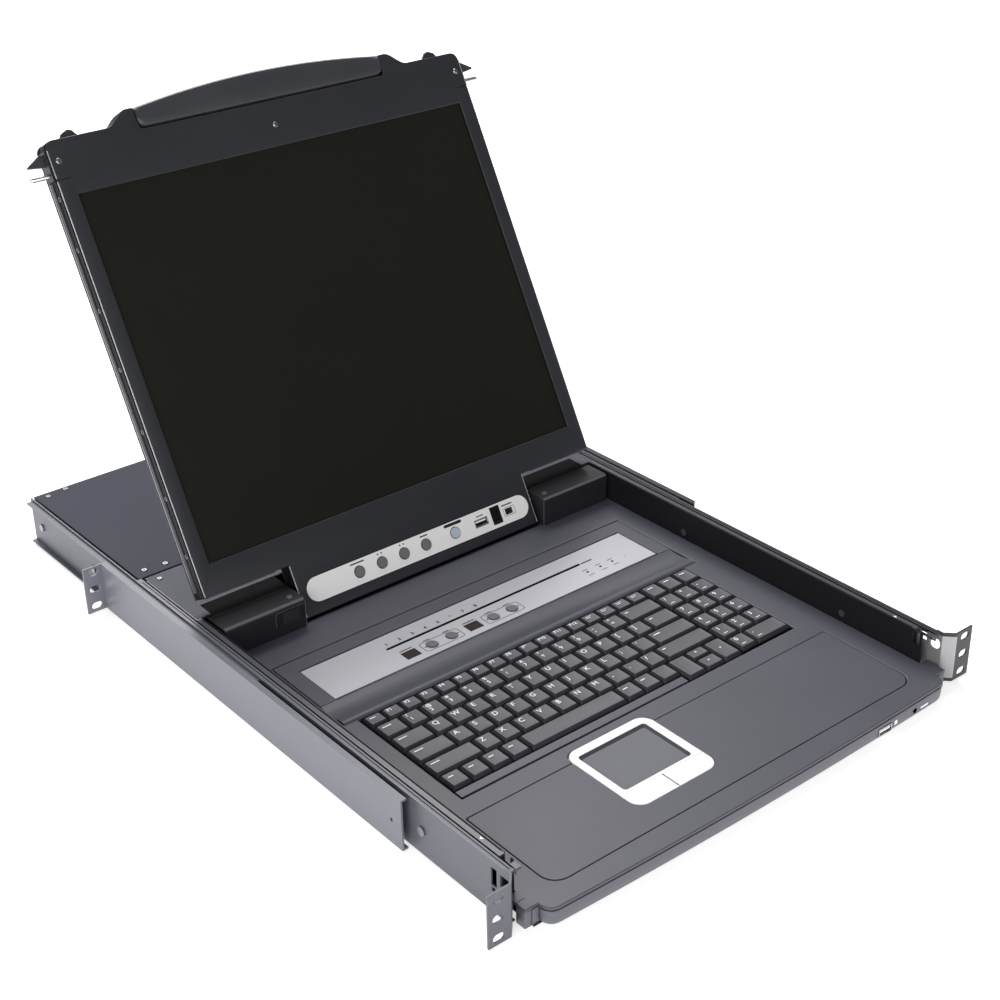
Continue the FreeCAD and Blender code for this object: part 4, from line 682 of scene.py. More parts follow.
def mouse_port():
    """Painted shadow for the port's depth and a white tongue inside the steel shell of the front port."""
    low, high = span("front_usb_port")
    # Painted shadow: dark box for the port's depth.
    well = box_mesh((low[0] + 0.9, -3.0, low[2] + 0.9), (high[0] - 0.9, -2.0, high[2] - 0.9))
    keep("mouse_port_shadow", well, SHADOW, smooth=False)
    middle = (low[2] + high[2]) / 2
    tongue = box_mesh((low[0] + 1.6, low[1] + 0.6, middle - 0.2),
                      (high[0] - 1.6, low[1] + 5.0, middle + 1.3))
    keep("mouse_port_tongue", tongue, WHITE, smooth=False)


def reset_hole():
    """Painted shadow as a dark rim round the pinhole."""
    ring = turned_mesh([(1.2, 0.0), (1.2, 0.25), (2.1, 0.25), (2.1, 0.0)],
                       (RESET_X, -12.6, RESET_Z), "y", 24)
    keep("reset_hole_shadow", ring, SHADOW)


def nose_ends():
    """Blocks that close the rail ends, and the arms that join them to the nose."""
    inner, outer = TRAY_HIGH[0] + 0.1, NOSE_HIGH[0]
    for word, side in SIDES.items():
        low, high = mirrored(side, inner, outer)
        block = rounded(low, SIDE_STEP, high, BLOCK_REAR, 0.8, 3)
        plate("rail_end_block_" + word, [block], NOSE_LOW[2], DECK_FOOT, NOSE, edge=0.5)
        low, high = mirrored(side, NOSE_HALF - 2, inner)
        arm = rounded(low, -1.2, high, BLOCK_REAR, 0.5, 2)
        plate("nose_arm_" + word, [arm], NOSE_LOW[2], DECK_FOOT, NOSE, edge=0.3)


def nose_marks():
    """Two small marks printed on the bowed face beside the port and the pinhole."""
    marks = []
    for x, wide, high in ((137.5, 3.2, 3.6), (169, 9.0, 1.6)):
        y = NOSE_LOW[1] + BOW * (x / NOSE_FLAT) ** 2 - 0.03
        end = y + 2 * BOW * x / NOSE_FLAT ** 2 * wide
        mesh = bpy.data.meshes.new("mark")
        mesh.from_pydata([(x, y, MARK_Z), (x + wide, end, MARK_Z), (x + wide, end, MARK_Z + high),
                          (x, y, MARK_Z + high)], [], [(0, 1, 2, 3)])
        marks.append(mesh)
    printed("nose_marks", marks, INK_LIGHT)


def panel_pieces():
    """Control panel cover: flat frame round the plate, then a trough and the rolled lip."""
    left, right, rear = PLATE_LOW[0] - DECK_GAP, PLATE_HIGH[0] + DECK_GAP, PLATE_HIGH[1] + 2 * DECK_GAP
    outer = [(-PANEL_HALF, RECESS_FRONT), (left, RECESS_FRONT), (left, rear), (right, rear),
             (right, RECESS_FRONT), (PANEL_HALF, RECESS_FRONT), (PANEL_HALF, PANEL_REAR),
             (-PANEL_HALF, PANEL_REAR)]
    plate("panel_frame", [outer], DECK_FOOT, DECK_TOP, DECK, edge=0.3,
          stands_for=["control_panel_cover"], slot="deck_plastic")
    # Dark sheet under the plate: painted shadow in the gap round it.
    bed = rounded(PLATE_LOW[0] - 2, RECESS_FRONT - 2, PLATE_HIGH[0] + 2, PLATE_HIGH[1] + 2, 1, 2)
    plate("panel_recess_shadow", [bed], DECK_FOOT - 0.05, PLATE_LOW[2] - 0.02, SHADOW, edge=0.02)
    # Rolled lip rising 0.9 above the deck, then the trough sinking 1.9 below it.
    roll = [(0, -1.0), (0.8, -0.1), (2.0, 0.6), (3.6, 0.9), (5.6, 0.7), (8.2, 0.1), (11.6, -1.0),
            (16.6, -1.7), (22.6, -1.9), (27.6, -1.4), (30.2, -0.8), (31.6, -0.45)]
    profile = [(LIP_FRONT, DECK_FOOT)] + [(LIP_FRONT + run, DECK_TOP + rise) for run, rise in roll]
    profile += [(RECESS_FRONT, DECK_FOOT)]
    keep("panel_trough", extruded_mesh(profile, -PANEL_HALF, PANEL_HALF), DECK, slot="deck_plastic")


deck_pieces()
deck_corners()
nose_shell()
mouse_port()
reset_hole()
nose_ends()
nose_marks()
panel_pieces()


# ---- control panel print -------------------------------------------------------------------

PRINT_LIFT = 0.08
BUTTON_PAIRS = (("port_down_button", "port_up_button"), ("station_down_button", "station_up_button"))
SLIT_LINE, SLIT_LEFT, SLIT_RIGHT = 303.4, -97.8, 105.8


def middle_of(node):
    """Middle of a CAD node."""
    return [(low + high) / 2 for low, high in zip(*span(node))]


def panel_print():
    """Port scale, outlines round the button pairs and small generic marks."""
    z = PLATE_HIGH[2] + PRINT_LIFT
    dark = [glyph_mesh(str(port + 1), -95 + 12.9 * port, SLIT_LINE + 4.4, z, 3.4, 0.2)
            for port in range(8)]
    line = middle_of("port_down_button")[1]
    for pair in BUTTON_PAIRS:
        middles = [middle_of(name)[0] for name in pair]
        left, right = middles[0] - 9.2, middles[1] + 9.2
        dark.append(loop_line(rounded(left, line - 6.6, right, line + 6.6, 2.5), 0.6, z))
        for x, tilt in ((left + 2.6, 1), (right - 2.6, -1)):
            tail = x + tilt * 0.8
            dark.append(mark_mesh([(x - tilt, line), (tail, line - 1.1), (tail, line + 1.1)], z))
        for x in middles:
            dark.append(dash(x - 3.2, line + 7.6, 6.4, 0.9, z))
            dark.append(ring_outline((x, line), 5.4, 0.5, z))
    for x in (-86.5, -23.7):
        dark.append(dash(x - 6, line + 7.0, 12, 1.1, z))
    for x in (102.6, 117.1, 130.6):
        dark.append(dash(x - 3, line + 6.4, 5.6, 0.8, z))
        dark.append(dash(x - 3, line - 2.6, 6.2, 0.7, z))
    dark.append(dash(SLIT_RIGHT + 1.4, SLIT_LINE - 1.2, 12, 1.5, z))
    printed("panel_print", dark, INK_DARK)


def light_bar():
    """Dark port light bar under the plate's long slit."""
    mesh = box_mesh((SLIT_LEFT, SLIT_LINE - 1.3, PLATE_LOW[2]),
                    (SLIT_RIGHT, SLIT_LINE + 1.3, PLATE_HIGH[2] - 0.3))
    keep("port_light_strip", mesh, SHADOW, smooth=False)


panel_print()
light_bar()


# ---- keyboard ------------------------------------------------------------------------------

KEY_FOOT, KEY_TOP = [corner[2] for corner in span("main_keys")]
LEGEND_LEVEL = KEY_TOP + PRINT_LIFT
ROW_FRONT, ROW_PITCH = 127.0, 19.45
DIGIT_ROW = 4
ROW_TEXTS = {1: "ZXCVBNM,./", 2: "ASDFGHJKL;'", 3: "QWERTYUIOP[]", DIGIT_ROW: "1234567890-="}
SHIFTED_DIGITS = "!@#$%^&*()_+"
# Arrow keys lie right of ARROWS_LEFT, start in front of ARROWS_FRONT and end in front of
# ARROWS_REAR. ARROWS_MIDDLE parts the tall ones, ARROWS_SPLIT parts the low ones front from rear.
ARROWS_LEFT, ARROWS_MIDDLE, ARROWS_FRONT, ARROWS_SPLIT, ARROWS_REAR = 55.0, 82.0, 134.0, 130.0, 147.0
# Front to rear: caps deeper than TALL_CAP are tall ones, those under SHORT_CAP slope less.
TALL_CAP, SHORT_CAP = 20.0, 15.0
# A cap face whose normal rises less than this is a side, and gets the darker painted shade.
STEEP = 0.86
PAD_TEXTS = ("0.", "123", "456", "789", "/*-", "   ")


def keycap_mesh(low, high):
    """Moulded cap: straight skirt, sloped sides, softly rounded rim and a dished top."""
    left, front, right, rear = low[0], low[1], high[0], high[1]
    slope = 1.7 if rear - front < SHORT_CAP else 2.1
    levels = [(0.3, KEY_FOOT), (0.0, KEY_FOOT + 0.5), (0.0, KEY_FOOT + 2.0), (0.25, KEY_FOOT + 2.7),
              (slope - 0.35, KEY_TOP - 0.35), (slope, KEY_TOP - 0.05), (slope + 0.5, KEY_TOP),
              (slope + 1.6, KEY_TOP - 0.16), (slope + 3.0, KEY_TOP - 0.26)]
    rings = []
    for inset, z in levels:
        inset = min(inset, (rear - front) / 2 - 0.8, (right - left) / 2 - 0.8)
        radius = 0.5 if z == levels[-1][1] else 0.7
        loop = rounded(left + inset, front + inset, right - inset, rear - inset, radius, 3)
        rings.append([(x, y, z) for x, y in loop])
    return loft_mesh(rings)


def shade_sides(mesh, side_material):
    """Give the steep faces of a mesh a second, darker material: painted shade on the cap sides."""
    mesh.materials.append(side_material)
    for face in mesh.polygons:
        if face.normal.z < STEEP:
            face.material_index = 1


def key_block(node):
    """All caps of one key node as one piece."""
    mesh = joined([keycap_mesh(low, high) for low, high in solids(node)])
    piece = keep("caps_" + node, mesh, KEY, node, stands_for=[node], slot="key_plastic")
    shade_sides(piece.data, KEY_SIDE_SHADE)


for name in ("main_keys", "function_keys", "numeric_pad_keys", "space_bar", "enter_key"):
    key_block(name)


def legend(text, low, high, size=4.6, across=0.0, up=0.0):
    """Printed character near the upper left of a cap."""
    return glyph_mesh(text, low[0] + 4.0 + across, high[1] - 3.8 - size + up, LEGEND_LEVEL, size, 0.13)


def arrow_mark(low, high, turn):
    """Small printed arrow head in the middle of a cap."""
    x, y = (low[0] + high[0]) / 2 - 1, (low[1] + high[1]) / 2 + 1
    head = [Matrix.Rotation(turn, 2) @ Vector(point) for point in ((0, 1.5), (-1.1, -0.6), (1.1, -0.6))]
    return mark_mesh([(x + point.x, y + point.y) for point in head], LEGEND_LEVEL)


def bar_mark(low, wide, high, from_top=6.4, thick=1.1, across=4.2):
    """Short printed bar that stands for a word on a wide cap."""
    return dash(low[0] + across, high[1] - from_top, wide, thick, LEGEND_LEVEL)


def in_rows(node, row_of):
    """The caps of a node by row, each row from left to right."""
    rows = {}
    for low, high in solids(node):
        rows.setdefault(row_of(low), []).append((low, high))
    for caps in rows.values():
        caps.sort(key=lambda cap: cap[0][0])
    return rows


def main_legends():
    """Legends of the main block, row by row from the front."""
    rows = in_rows("main_keys", lambda low: round((low[1] - ROW_FRONT) / ROW_PITCH))
    marks = []
    for row, text in ROW_TEXTS.items():
        caps = rows[row]
        (first_low, first_high), (last_low, last_high) = caps[0], caps[-1]
        marks.append(bar_mark(first_low, min(8.0, first_high[0] - first_low[0] - 9), first_high))
        for index, (character, (low, high)) in enumerate(zip(text, caps[1:])):
            if row == DIGIT_ROW:
                marks.append(legend(character, low, high, 3.9, 0.2, -4.2))
                marks.append(legend(SHIFTED_DIGITS[index], low, high, 3.2, 0.0, 0.9))
            else:
                marks.append(legend(character, low, high))
        if len(caps) > len(text) + 1:
            marks.append(bar_mark(last_low, 3.6, last_high))
    for low, high in rows[0]:
        if low[0] < 20:
            marks.append(bar_mark(low, 4.6, high, 7.2))
    arrows = [(low, high) for low, high in solids("main_keys")
              if low[0] > ARROWS_LEFT and low[1] < ARROWS_FRONT and high[1] < ARROWS_REAR]
    for low, high in arrows:
        turn = 0.0 if low[1] > ARROWS_SPLIT else math.pi
        if high[1] - low[1] > TALL_CAP:
            turn = math.pi / 2 if low[0] + high[0] < 2 * ARROWS_MIDDLE else -math.pi / 2
        marks.append(arrow_mark(low, high, turn))
    printed("main_key_legends", marks, INK_LIGHT, "main_keys")


def function_legends():
    """F1 to F12, and bars for the words on the other small keys."""
    marks = []
    for index, (low, high) in enumerate(solids("function_keys")):
        if index == 0:
            marks.append(bar_mark(low, 5.0, high, 5.4, 0.9, 4.0))
        elif index <= 12:
            marks.append(legend(f"F{index}", low, high, 3.4, -0.8, 1.3))
        else:
            marks.append(bar_mark(low, 6.0, high, 4.6, 0.7, 3.6))
            marks.append(bar_mark(low, 4.4, high, 6.4, 0.7, 3.6))
    printed("function_key_legends", marks, INK_LIGHT, "function_keys")


def pad_legends():
    """Digits and signs of the number pad; a bar where the cap carries a word."""
    rows = in_rows("numeric_pad_keys", lambda low: round(low[1]))
    marks = []
    for row, text in zip(sorted(rows), PAD_TEXTS):
        for character, (low, high) in zip(text, rows[row]):
            if character == " ":
                marks.append(bar_mark(low, 6.0, high))
            else:
                marks.append(legend(character, low, high, 4.2))
                marks.append(dash(low[0] + 4.2, low[1] + 4.6, 4.4, 0.8, LEGEND_LEVEL))
    printed("number_pad_legends", marks, INK_LIGHT, "numeric_pad_keys")


def enter_legend():
    """Bar that stands for the word on the enter key."""
    low, high = solids("enter_key")[0]
    printed("enter_key_legend", [bar_mark(low, 7.0, high)], INK_LIGHT, "enter_key")


main_legends()
function_legends()
pad_legends()
enter_legend()


# ---- touchpad ------------------------------------------------------------------------------

def touchpad_slope():
    """Sloped wall between the white ring and the sunk pad, in a grey that paints its shade."""
    low, high = span("touchpad_surface")
    left, front, right, rear = low[0] - PAD_GAP, low[1] - PAD_GAP, high[0] + PAD_GAP, high[1] + PAD_GAP
    # Each step: in from the sides, the front and the rear, corner radius, height on the deck.
    steps = ((0.0, 0.0, 0.0, 3.1, 0.05), (0.5, 0.35, 0.55, 2.9, -0.3), (2.1, 1.0, 2.6, 2.2, -1.68))
    rings = []
    for side, near, far, radius, rise in steps:
        loop = rounded(left + side, front + near, right - side, rear - far, radius)
        rings.append([(x, y, DECK_TOP + rise) for x, y in loop])
    keep("touchpad_slope", loft_mesh(rings, closed_ends=False), PAD_WALL_SHADE)


def touchpad_seam_shadow():
    """Painted shadow: dark line in the gap between the two buttons at the front of the ring."""
    low = span("touchpad_button_left")[1]
    high = span("touchpad_button_right")[0]
    strip = box_mesh((low[0] - 0.25, TOUCH_FRONT + 0.8, low[2] - 0.2),
                     (high[0] + 0.25, low[1], low[2] + 0.04))
    keep("touchpad_seam_shadow", strip, SHADOW, smooth=False)


touchpad_slope()
touchpad_seam_shadow()


# ---- hinge covers --------------------------------------------------------------------------

COVER_LOW, COVER_HIGH = span("hinge_cover_right")
COVER_FRONT, COVER_TOP, COVER_INNER, COVER_OUTER = COVER_LOW[1], COVER_HIGH[2], COVER_LOW[0], 201.0
COVER_REAR = COVER_HIGH[1] - 6.0
COVER_RADIUS, COVER_SHEET = 3.0, 1.5
SHELF_REAR, STAND_FRONT = COVER_HIGH[1] + 14.5, 380.2
LOCK_LEFT, LOCK_RIGHT, LOCK_FOOT, LOCK_TOP = -154.5, -127.0, 3.0, 17.0


def cover_fold(radius, start=180, end=90):
    """Arc of the cover's rounded front top edge."""
    return arc(COVER_FRONT + COVER_RADIUS, COVER_TOP - COVER_RADIUS, radius, start, end)


def lock_recess():
    """Room for the lid lock in the left cover's front."""
    return box_mesh((LOCK_LEFT + 0.5, COVER_FRONT - 1, LOCK_FOOT + 0.5),
                    (LOCK_RIGHT - 0.5, COVER_FRONT + 1.1, LOCK_TOP - 0.5))


def lock_recess_highlight():
    """Painted highlight on the upper and left edge of that recess."""
    front, rear = COVER_FRONT - 0.08, COVER_FRONT + 0.5
    border = [box_mesh((LOCK_LEFT, front, LOCK_TOP - 0.5), (LOCK_RIGHT, rear, LOCK_TOP)),
              box_mesh((LOCK_LEFT, front, LOCK_FOOT), (LOCK_LEFT + 0.5, rear, LOCK_TOP))]
    keep("lock_recess_highlight", joined(border), LID_EDGE_HIGHLIGHT)


def hinge_cover_pieces(word, side):
    """Folded cover with closed ends and painted highlights on its edges, the shelf behind it in painted
    shade and the stand below.
    """
    low, high = mirrored(side, COVER_INNER, COVER_OUTER)
    skin = [(COVER_FRONT, DECK_TOP)] + cover_fold(COVER_RADIUS)
    skin += [(COVER_REAR, COVER_TOP), (COVER_REAR, COVER_TOP - COVER_SHEET)]
    skin += cover_fold(COVER_RADIUS - COVER_SHEET, 90, 180) + [(COVER_FRONT + COVER_SHEET, DECK_TOP)]
    mesh = extruded_mesh(skin, low, high)
    if word == "left":
        mesh = carved(mesh, [lock_recess()])
    keep("hinge_cover_skin_" + word, mesh, CASE, stands_for=["hinge_cover_" + word],
         slot="case_paint", edge_round=0.4)
    if word == "left":
        lock_recess_highlight()
    end = [(COVER_FRONT + 0.4, DECK_TOP)] + cover_fold(COVER_RADIUS - 0.4)
    end += [(COVER_REAR, COVER_TOP - 0.4), (COVER_REAR, DECK_TOP)]
    for label, x in (("inner", side * (COVER_INNER + 0.8)), ("outer", side * (COVER_OUTER - 0.8))):
        keep(f"hinge_cover_{label}_end_{word}", extruded_mesh(end, x - 0.75, x + 0.75), CASE,
             edge_round=0.35)
    # Painted highlight along the rounded front top edge.
    fold_highlight = cover_fold(COVER_RADIUS + 0.06, 150, 112) + cover_fold(COVER_RADIUS - 0.3, 112, 150)
    keep("hinge_cover_highlight_" + word, extruded_mesh(fold_highlight, low + 1.0, high - 1.0), LID_EDGE_HIGHLIGHT)
    # Painted highlight up the cover's inner front corner.
    x = side * (COVER_INNER + 0.25)
    edge = box_mesh((x - 0.3, COVER_FRONT - 0.05, DECK_TOP),
                    (x + 0.3, COVER_FRONT + 0.4, COVER_TOP - 2.4))
    keep("hinge_cover_edge_highlight_" + word, edge, LID_EDGE_HIGHLIGHT)
    # Shelf behind the cover, in painted shade.
    shelf = box_mesh((low, COVER_REAR + 0.05, COVER_TOP - 2.0),
                     (high, SHELF_REAR, COVER_TOP - 0.15))
    keep("hinge_cover_shelf_" + word, shelf, HINGE_SHELF_SHADE, edge_round=0.4)
    stand = box_mesh((low, STAND_FRONT, TRAY_LOW[2] + 1.2), (high, COVER_HIGH[1], DECK_TOP))
    keep("hinge_cover_stand_" + word, stand, CASE)


for word, side in SIDES.items():
    hinge_cover_pieces(word, side)


# ---- lid -----------------------------------------------------------------------------------

BEZEL_LOW, BEZEL_HIGH = lid_span("lid_bezel")
SHELL_LOW, SHELL_HIGH = lid_span("lid_rear_shell")
HANDLE_LOW, HANDLE_HIGH = lid_span("lid_handle")
STRIP_LOW, STRIP_HIGH = lid_span("osd_strip")
LID_FOOT, LID_TOP, LID_CORNER = 24.2, 396.7, 7
LID_FACE, LID_BACK = BEZEL_HIGH[2], SHELL_LOW[2]
TONGUE_HALF = 122.6
SHOULDER_TOP, SHOULDER_OUTER, SHOULDER_INNER = BEZEL_HIGH[1], 146.0, 126.0
HANDLE_HALF, HANDLE_FOOT, HANDLE_GAP = HANDLE_HIGH[0], HANDLE_LOW[1], 0.5
SCREEN_HALF, SCREEN_FOOT, SCREEN_TOP = 187.4, 48.8, 352.1
SLIT_FOOT, SLIT_TOP = 365.1, 366.3
STRIP_MIDDLE = -1.9
POWER_X = 37.4
CATCH_LINE = 371.0


def shoulder(steps=10):
    """Smooth S from the lid's top edge up to the handle, right side, outer end first."""
    points = []
    for step in range(steps + 1):
        share = step / steps
        rise = share * share * (3 - 2 * share)
        points.append((SHOULDER_OUTER + (SHOULDER_INNER - SHOULDER_OUTER) * share,
                       LID_TOP + (SHOULDER_TOP - LID_TOP) * rise))
    return points


def lid_loop(half):
    """Outline of the lid as seen from the keyboard, anticlockwise."""
    right = [(TONGUE_HALF, BEZEL_LOW[1]), (TONGUE_HALF, LID_FOOT), (half, LID_FOOT)]
    right += arc(half - LID_CORNER, LID_TOP - LID_CORNER, LID_CORNER, 0, 90, 5)
    right += shoulder()
    seat, radius = HANDLE_HALF + HANDLE_GAP, 4
    right += [(seat + 1.2, SHOULDER_TOP), (seat, SHOULDER_TOP - 1.2), (seat, HANDLE_FOOT + radius)]
    right += arc(seat - radius, HANDLE_FOOT + radius - HANDLE_GAP, radius, 0, -90, 4)
    return right + [(-x, y) for x, y in right[::-1]]


def capsule(low_x, high_x, line, half, steps=12):
    """Outline of a bar with half-round ends."""
    return arc(high_x - half, line, half, -90, 90, steps) + arc(low_x + half, line, half, 90, 270, steps)


def lid_front():
    """Screen frame with a rounded outer edge, the strip's bed and a slit at each catch."""
    opening = rounded(-SCREEN_HALF, SCREEN_FOOT, SCREEN_HALF, SCREEN_TOP, 0.8, 3)
    mesh = plate_mesh([lid_loop(BEZEL_HIGH[0]), opening], BEZEL_LOW[2], LID_FACE, 0.95)
    bed = capsule(STRIP_LOW[0] - 0.6, STRIP_HIGH[0] + 0.6, STRIP_MIDDLE, 10.85)
    cutters = [loft_mesh([[(x, y, z) for x, y in bed] for z in (LID_FACE - 0.85, LID_FACE + 2)])]
    for low, high in (((58.8, -5.8, 0), (73.8, 1.4, 20)), ((77.8, -9.3, 0), (88.6, 6.9, 20))):
        cutters.append(box_mesh(low, high))
    for side in SIDES.values():
        low, high = mirrored(side, SCREEN_HALF + 1.5, BEZEL_HIGH[0] + 2)
        cutters.append(box_mesh((low, SLIT_FOOT, LID_FACE - 0.9), (high, SLIT_TOP, 20)))
    lid_piece("lid_front_frame", carved(mesh, cutters), LID_PLASTIC, stands_for=["lid_bezel"],
              slot="lid_plastic")


def lid_back():
    """Back panel and the side wall between it and the frame."""
    half = SHELL_HIGH[0]
    lid_piece("lid_back_panel", plate_mesh([lid_loop(half)], LID_BACK, LID_BACK + 2.2, 0.8),
              LID_PLASTIC, stands_for=["lid_rear_shell"], slot="lid_plastic")
    room = rounded(-half + 3.2, LID_FOOT + 2.5, half - 3.2, HANDLE_FOOT - 2.5, 2, 2)
    wall = plate_mesh([lid_loop(half - 1.2), room], LID_BACK + 2.1, BEZEL_LOW[2], 0.1)
    lid_piece("lid_side_wall", wall, LID_SIDE)


def lid_edge_lines():
    """Painted highlight: a bright line along the front corner of the lid's sides and of the tongue's."""
    for word, side in SIDES.items():
        strips = []
        for across, foot, top in ((BEZEL_HIGH[0], LID_FOOT + 1, SLIT_FOOT - 0.6),
                                  (BEZEL_HIGH[0], SLIT_TOP + 0.7, LID_TOP - 7.5),
                                  (TONGUE_HALF, BEZEL_LOW[1] + 1.0, LID_FOOT - 0.5)):
            low, high = mirrored(side, across - 0.9, across - 0.02)
            strips.append(box_mesh((low, foot, LID_FACE - 0.9), (high, top, LID_FACE - 0.1)))
        lid_piece("lid_edge_line_" + word, joined(strips), CORNER_HIGHLIGHT, smooth=False)


def lid_side_pieces(word, side):
    """Long ribs along the lid's side in a painted highlight colour, solid corner block, ring screws,
    rolled lower edge with a painted highlight.
    """
    half = SHELL_HIGH[0]
    low, high = mirrored(side, half - 1.6, half)
    # Real ribs, their light colour a painted highlight.
    ribs = [box_mesh((low, LID_FOOT + 6, low_z), (high, 365.5, high_z))
            for low_z, high_z in ((-1.6, -0.9), (-5.2, -3.2))]
    lid_piece("lid_side_ribs_" + word, joined(ribs), LID_EDGE_HIGHLIGHT)
    low, high = mirrored(side, half - 1.6, half - 0.02)
    block = box_mesh((low, 366.2, LID_BACK + 1.5), (high, 389.5, BEZEL_LOW[2] - 0.1))
    lid_piece("lid_corner_block_" + word, block, LID_PLASTIC)
    head = [(1.2, 0), (1.2, 0.25), (1.7, 0.35), (1.9, 0.2), (1.9, 0)]
    screws = [turned_mesh(head, (side * (half - 1.25), y, 2.6), OUTWARDS[word], 20)
              for y in (60.0, 108.0, 163.0, 214.0, 262.0, 311.0, 352.0)]
    lid_piece("lid_side_screws_" + word, joined(screws), SCREW)
    low, high = mirrored(side, TONGUE_HALF + 12, half - 2.5)
    run = high - low
    ends = [(0.4, 0), (1.9, 0.6), (2.1, 1.5)]
    ends += [(radius, run - inset) for radius, inset in ends[::-1]]
    # Rolled lid foot, its light colour a painted highlight.
    roll = turned_mesh(ends, (low, LID_FOOT + 1.2, LID_FACE - 2.4), "x", 24)
    lid_piece("lid_foot_roll_" + word, roll, ROLL_EDGE_HIGHLIGHT)


def handle_top(x):
    """Height of the grip's arched top edge."""
    rise = HANDLE_HIGH[1] - SHOULDER_TOP
    return SHOULDER_TOP + rise * (1 - (x / HANDLE_HALF) ** 2)


def handle_section(x, foot):
    """Section of the grip, up the lid and out of its face."""
    top = handle_top(x)
    mid = (foot + top) / 2
    face, back = HANDLE_HIGH[2], HANDLE_LOW[2]
    return [(foot, face - 3.5), (foot + 1.2, face - 1.0), (foot + 3.2, face - 0.1), (mid - 2, face),
            (mid + 4, face - 0.4), (top - 1.6, face - 1.3), (top - 0.2, face - 3.0), (top, 0.5),
            (top - 0.8, -4.5), (top - 3.5, back + 0.9), (mid, back), (foot + 2, back + 0.3),
            (foot, back + 2.5)]


def grip(foot, steps=26):
    """Arched grip whose ends are drawn in to a soft corner."""
    ends = [(0, 5.0), (1.2, 2.4), (3.4, 0.7), (6, 0.1)]
    flat = HANDLE_HALF - ends[-1][0]
    stations = [(run - HANDLE_HALF, rise) for run, rise in ends]
    stations += [(-flat + 2 * flat * step / steps, 0.0) for step in range(1, steps)]
    stations += [(HANDLE_HALF - run, rise) for run, rise in ends[::-1]]
    rings = [[(x, y, z) for y, z in handle_section(x, foot + rise)] for x, rise in stations]
    lid_piece("lid_grip", loft_mesh(rings), HANDLE, stands_for=["lid_handle"],
              slot="lid_plastic")


def grip_dots(foot, rows=6, columns=26):
    """Rows of small raised dots in the middle of the grip."""
    dot = [(0.55, -0.3), (0.5, 0.05), (0.25, 0.16)]
    dots = []
    for row in range(rows):
        for column in range(columns):
            x = -36 + column * 3.1 + (row % 2) * 1.55
            y = handle_top(x) - 6.2 - row * 2.1
            face = HANDLE_HIGH[2] - 0.1 - max(0.0, (y - (foot + handle_top(x)) / 2 - 3)) * 0.17
            dots.append(turned_mesh(dot, (x, y, face), "z", 8))
    lid_piece("grip_dots", joined(dots), LID_PLASTIC)


def strip_print():
    """Generic marks, rings and outlines printed on the pale control strip."""
    z = STRIP_HIGH[2] + 0.03
    line = STRIP_MIDDLE
    spots = [-63.0 + 23.03 * index for index in range(4)]
    marks = [ring_outline((x, line), 5.3, 0.45, z) for x in spots + [POWER_X]]
    marks.append(dash(spots[0] - 7, line + 7.2, 14, 1.1, z))
    for x in spots[1:3]:
        for tilt in (-1, 1):
            tail = x + tilt * 1.2
            marks.append(mark_mesh([(x + tilt * 3.2, line + 7.8), (tail, line + 6.9),
                                    (tail, line + 8.7)], z))
    marks.append(dash(spots[3] - 4, line + 7.2, 8, 1.1, z))
    marks.append(mark_mesh(capsule(POWER_X - 9.5, POWER_X + 9.5, line + 7.9, 1.3, 5), z))
    marks.append(dash(62.5, line + 5.2, 7.6, 0.9, z))
    marks.append(dash(91, line + 5.6, 11.5, 1.1, z))
    marks.append(loop_line(rounded(91.6, line - 3.6, 103.6, line + 3.6, 0.6, 2), 0.35, z))
    printed("strip_print", marks, INK_DARK, "lid", on_lid=True)
    # Dark line round the strip: painted shadow in the gap between strip and frame.
    rim = capsule(STRIP_LOW[0] - 0.35, STRIP_HIGH[0] + 0.35, line, 10.6)
    lid_piece("strip_gap_shadow", loop_line(rim, 0.5, LID_FACE - 0.35), SHADOW, smooth=False)


def data_socket(top):
    """Steel data socket with a white tongue."""
    left, front, right, rear = 59.2, -5.4, 73.4, 1.0
    sheet = 0.8
    inside = (left + sheet, front + sheet, right - sheet, rear - sheet)
    shell = plate_mesh([rounded(left, front, right, rear, 0.6, 3), rounded(*inside, 0.3, 3)],
                       -4.6, top, 0.1)
    lid_piece("lid_usb_shell", shell, STEEL, stands_for=["osd_jacks"], slot="bare_steel")
    lid_piece("lid_usb_tongue", box_mesh((61, -1.6, -4), (71.6, -0.2, top - 1.0)), WHITE)
    # Dark floor: painted shadow inside the socket.
    floor = box_mesh((inside[0], inside[1], -4.5), (inside[2], inside[3], -2.5))
    lid_piece("lid_usb_shadow", floor, SHADOW)


def phone_jack(top):
    """Black clip-in jack with a row of thin contacts."""
    outlines = [rounded(78.2, -8.9, 88.2, 6.5, 0.5, 3), rounded(79.4, -6.6, 87.0, 4.6, 0.3, 3)]
    lid_piece("lid_phone_jack", plate_mesh(outlines, -6.0, top, 0.15), SOCKET,
              slot="socket_black")
    # Dark floor: painted shadow inside the jack.
    lid_piece("lid_phone_shadow", box_mesh((79, -7, -5.9), (87.4, 5, -3.5)), SHADOW)
    pins = [box_mesh((80.4 + index * 1.05, 2.0, -3.5), (80.75 + index * 1.05, 4.6, top - 3))
            for index in range(6)]
    lid_piece("lid_phone_pins", joined(pins), STEEL, smooth=False)


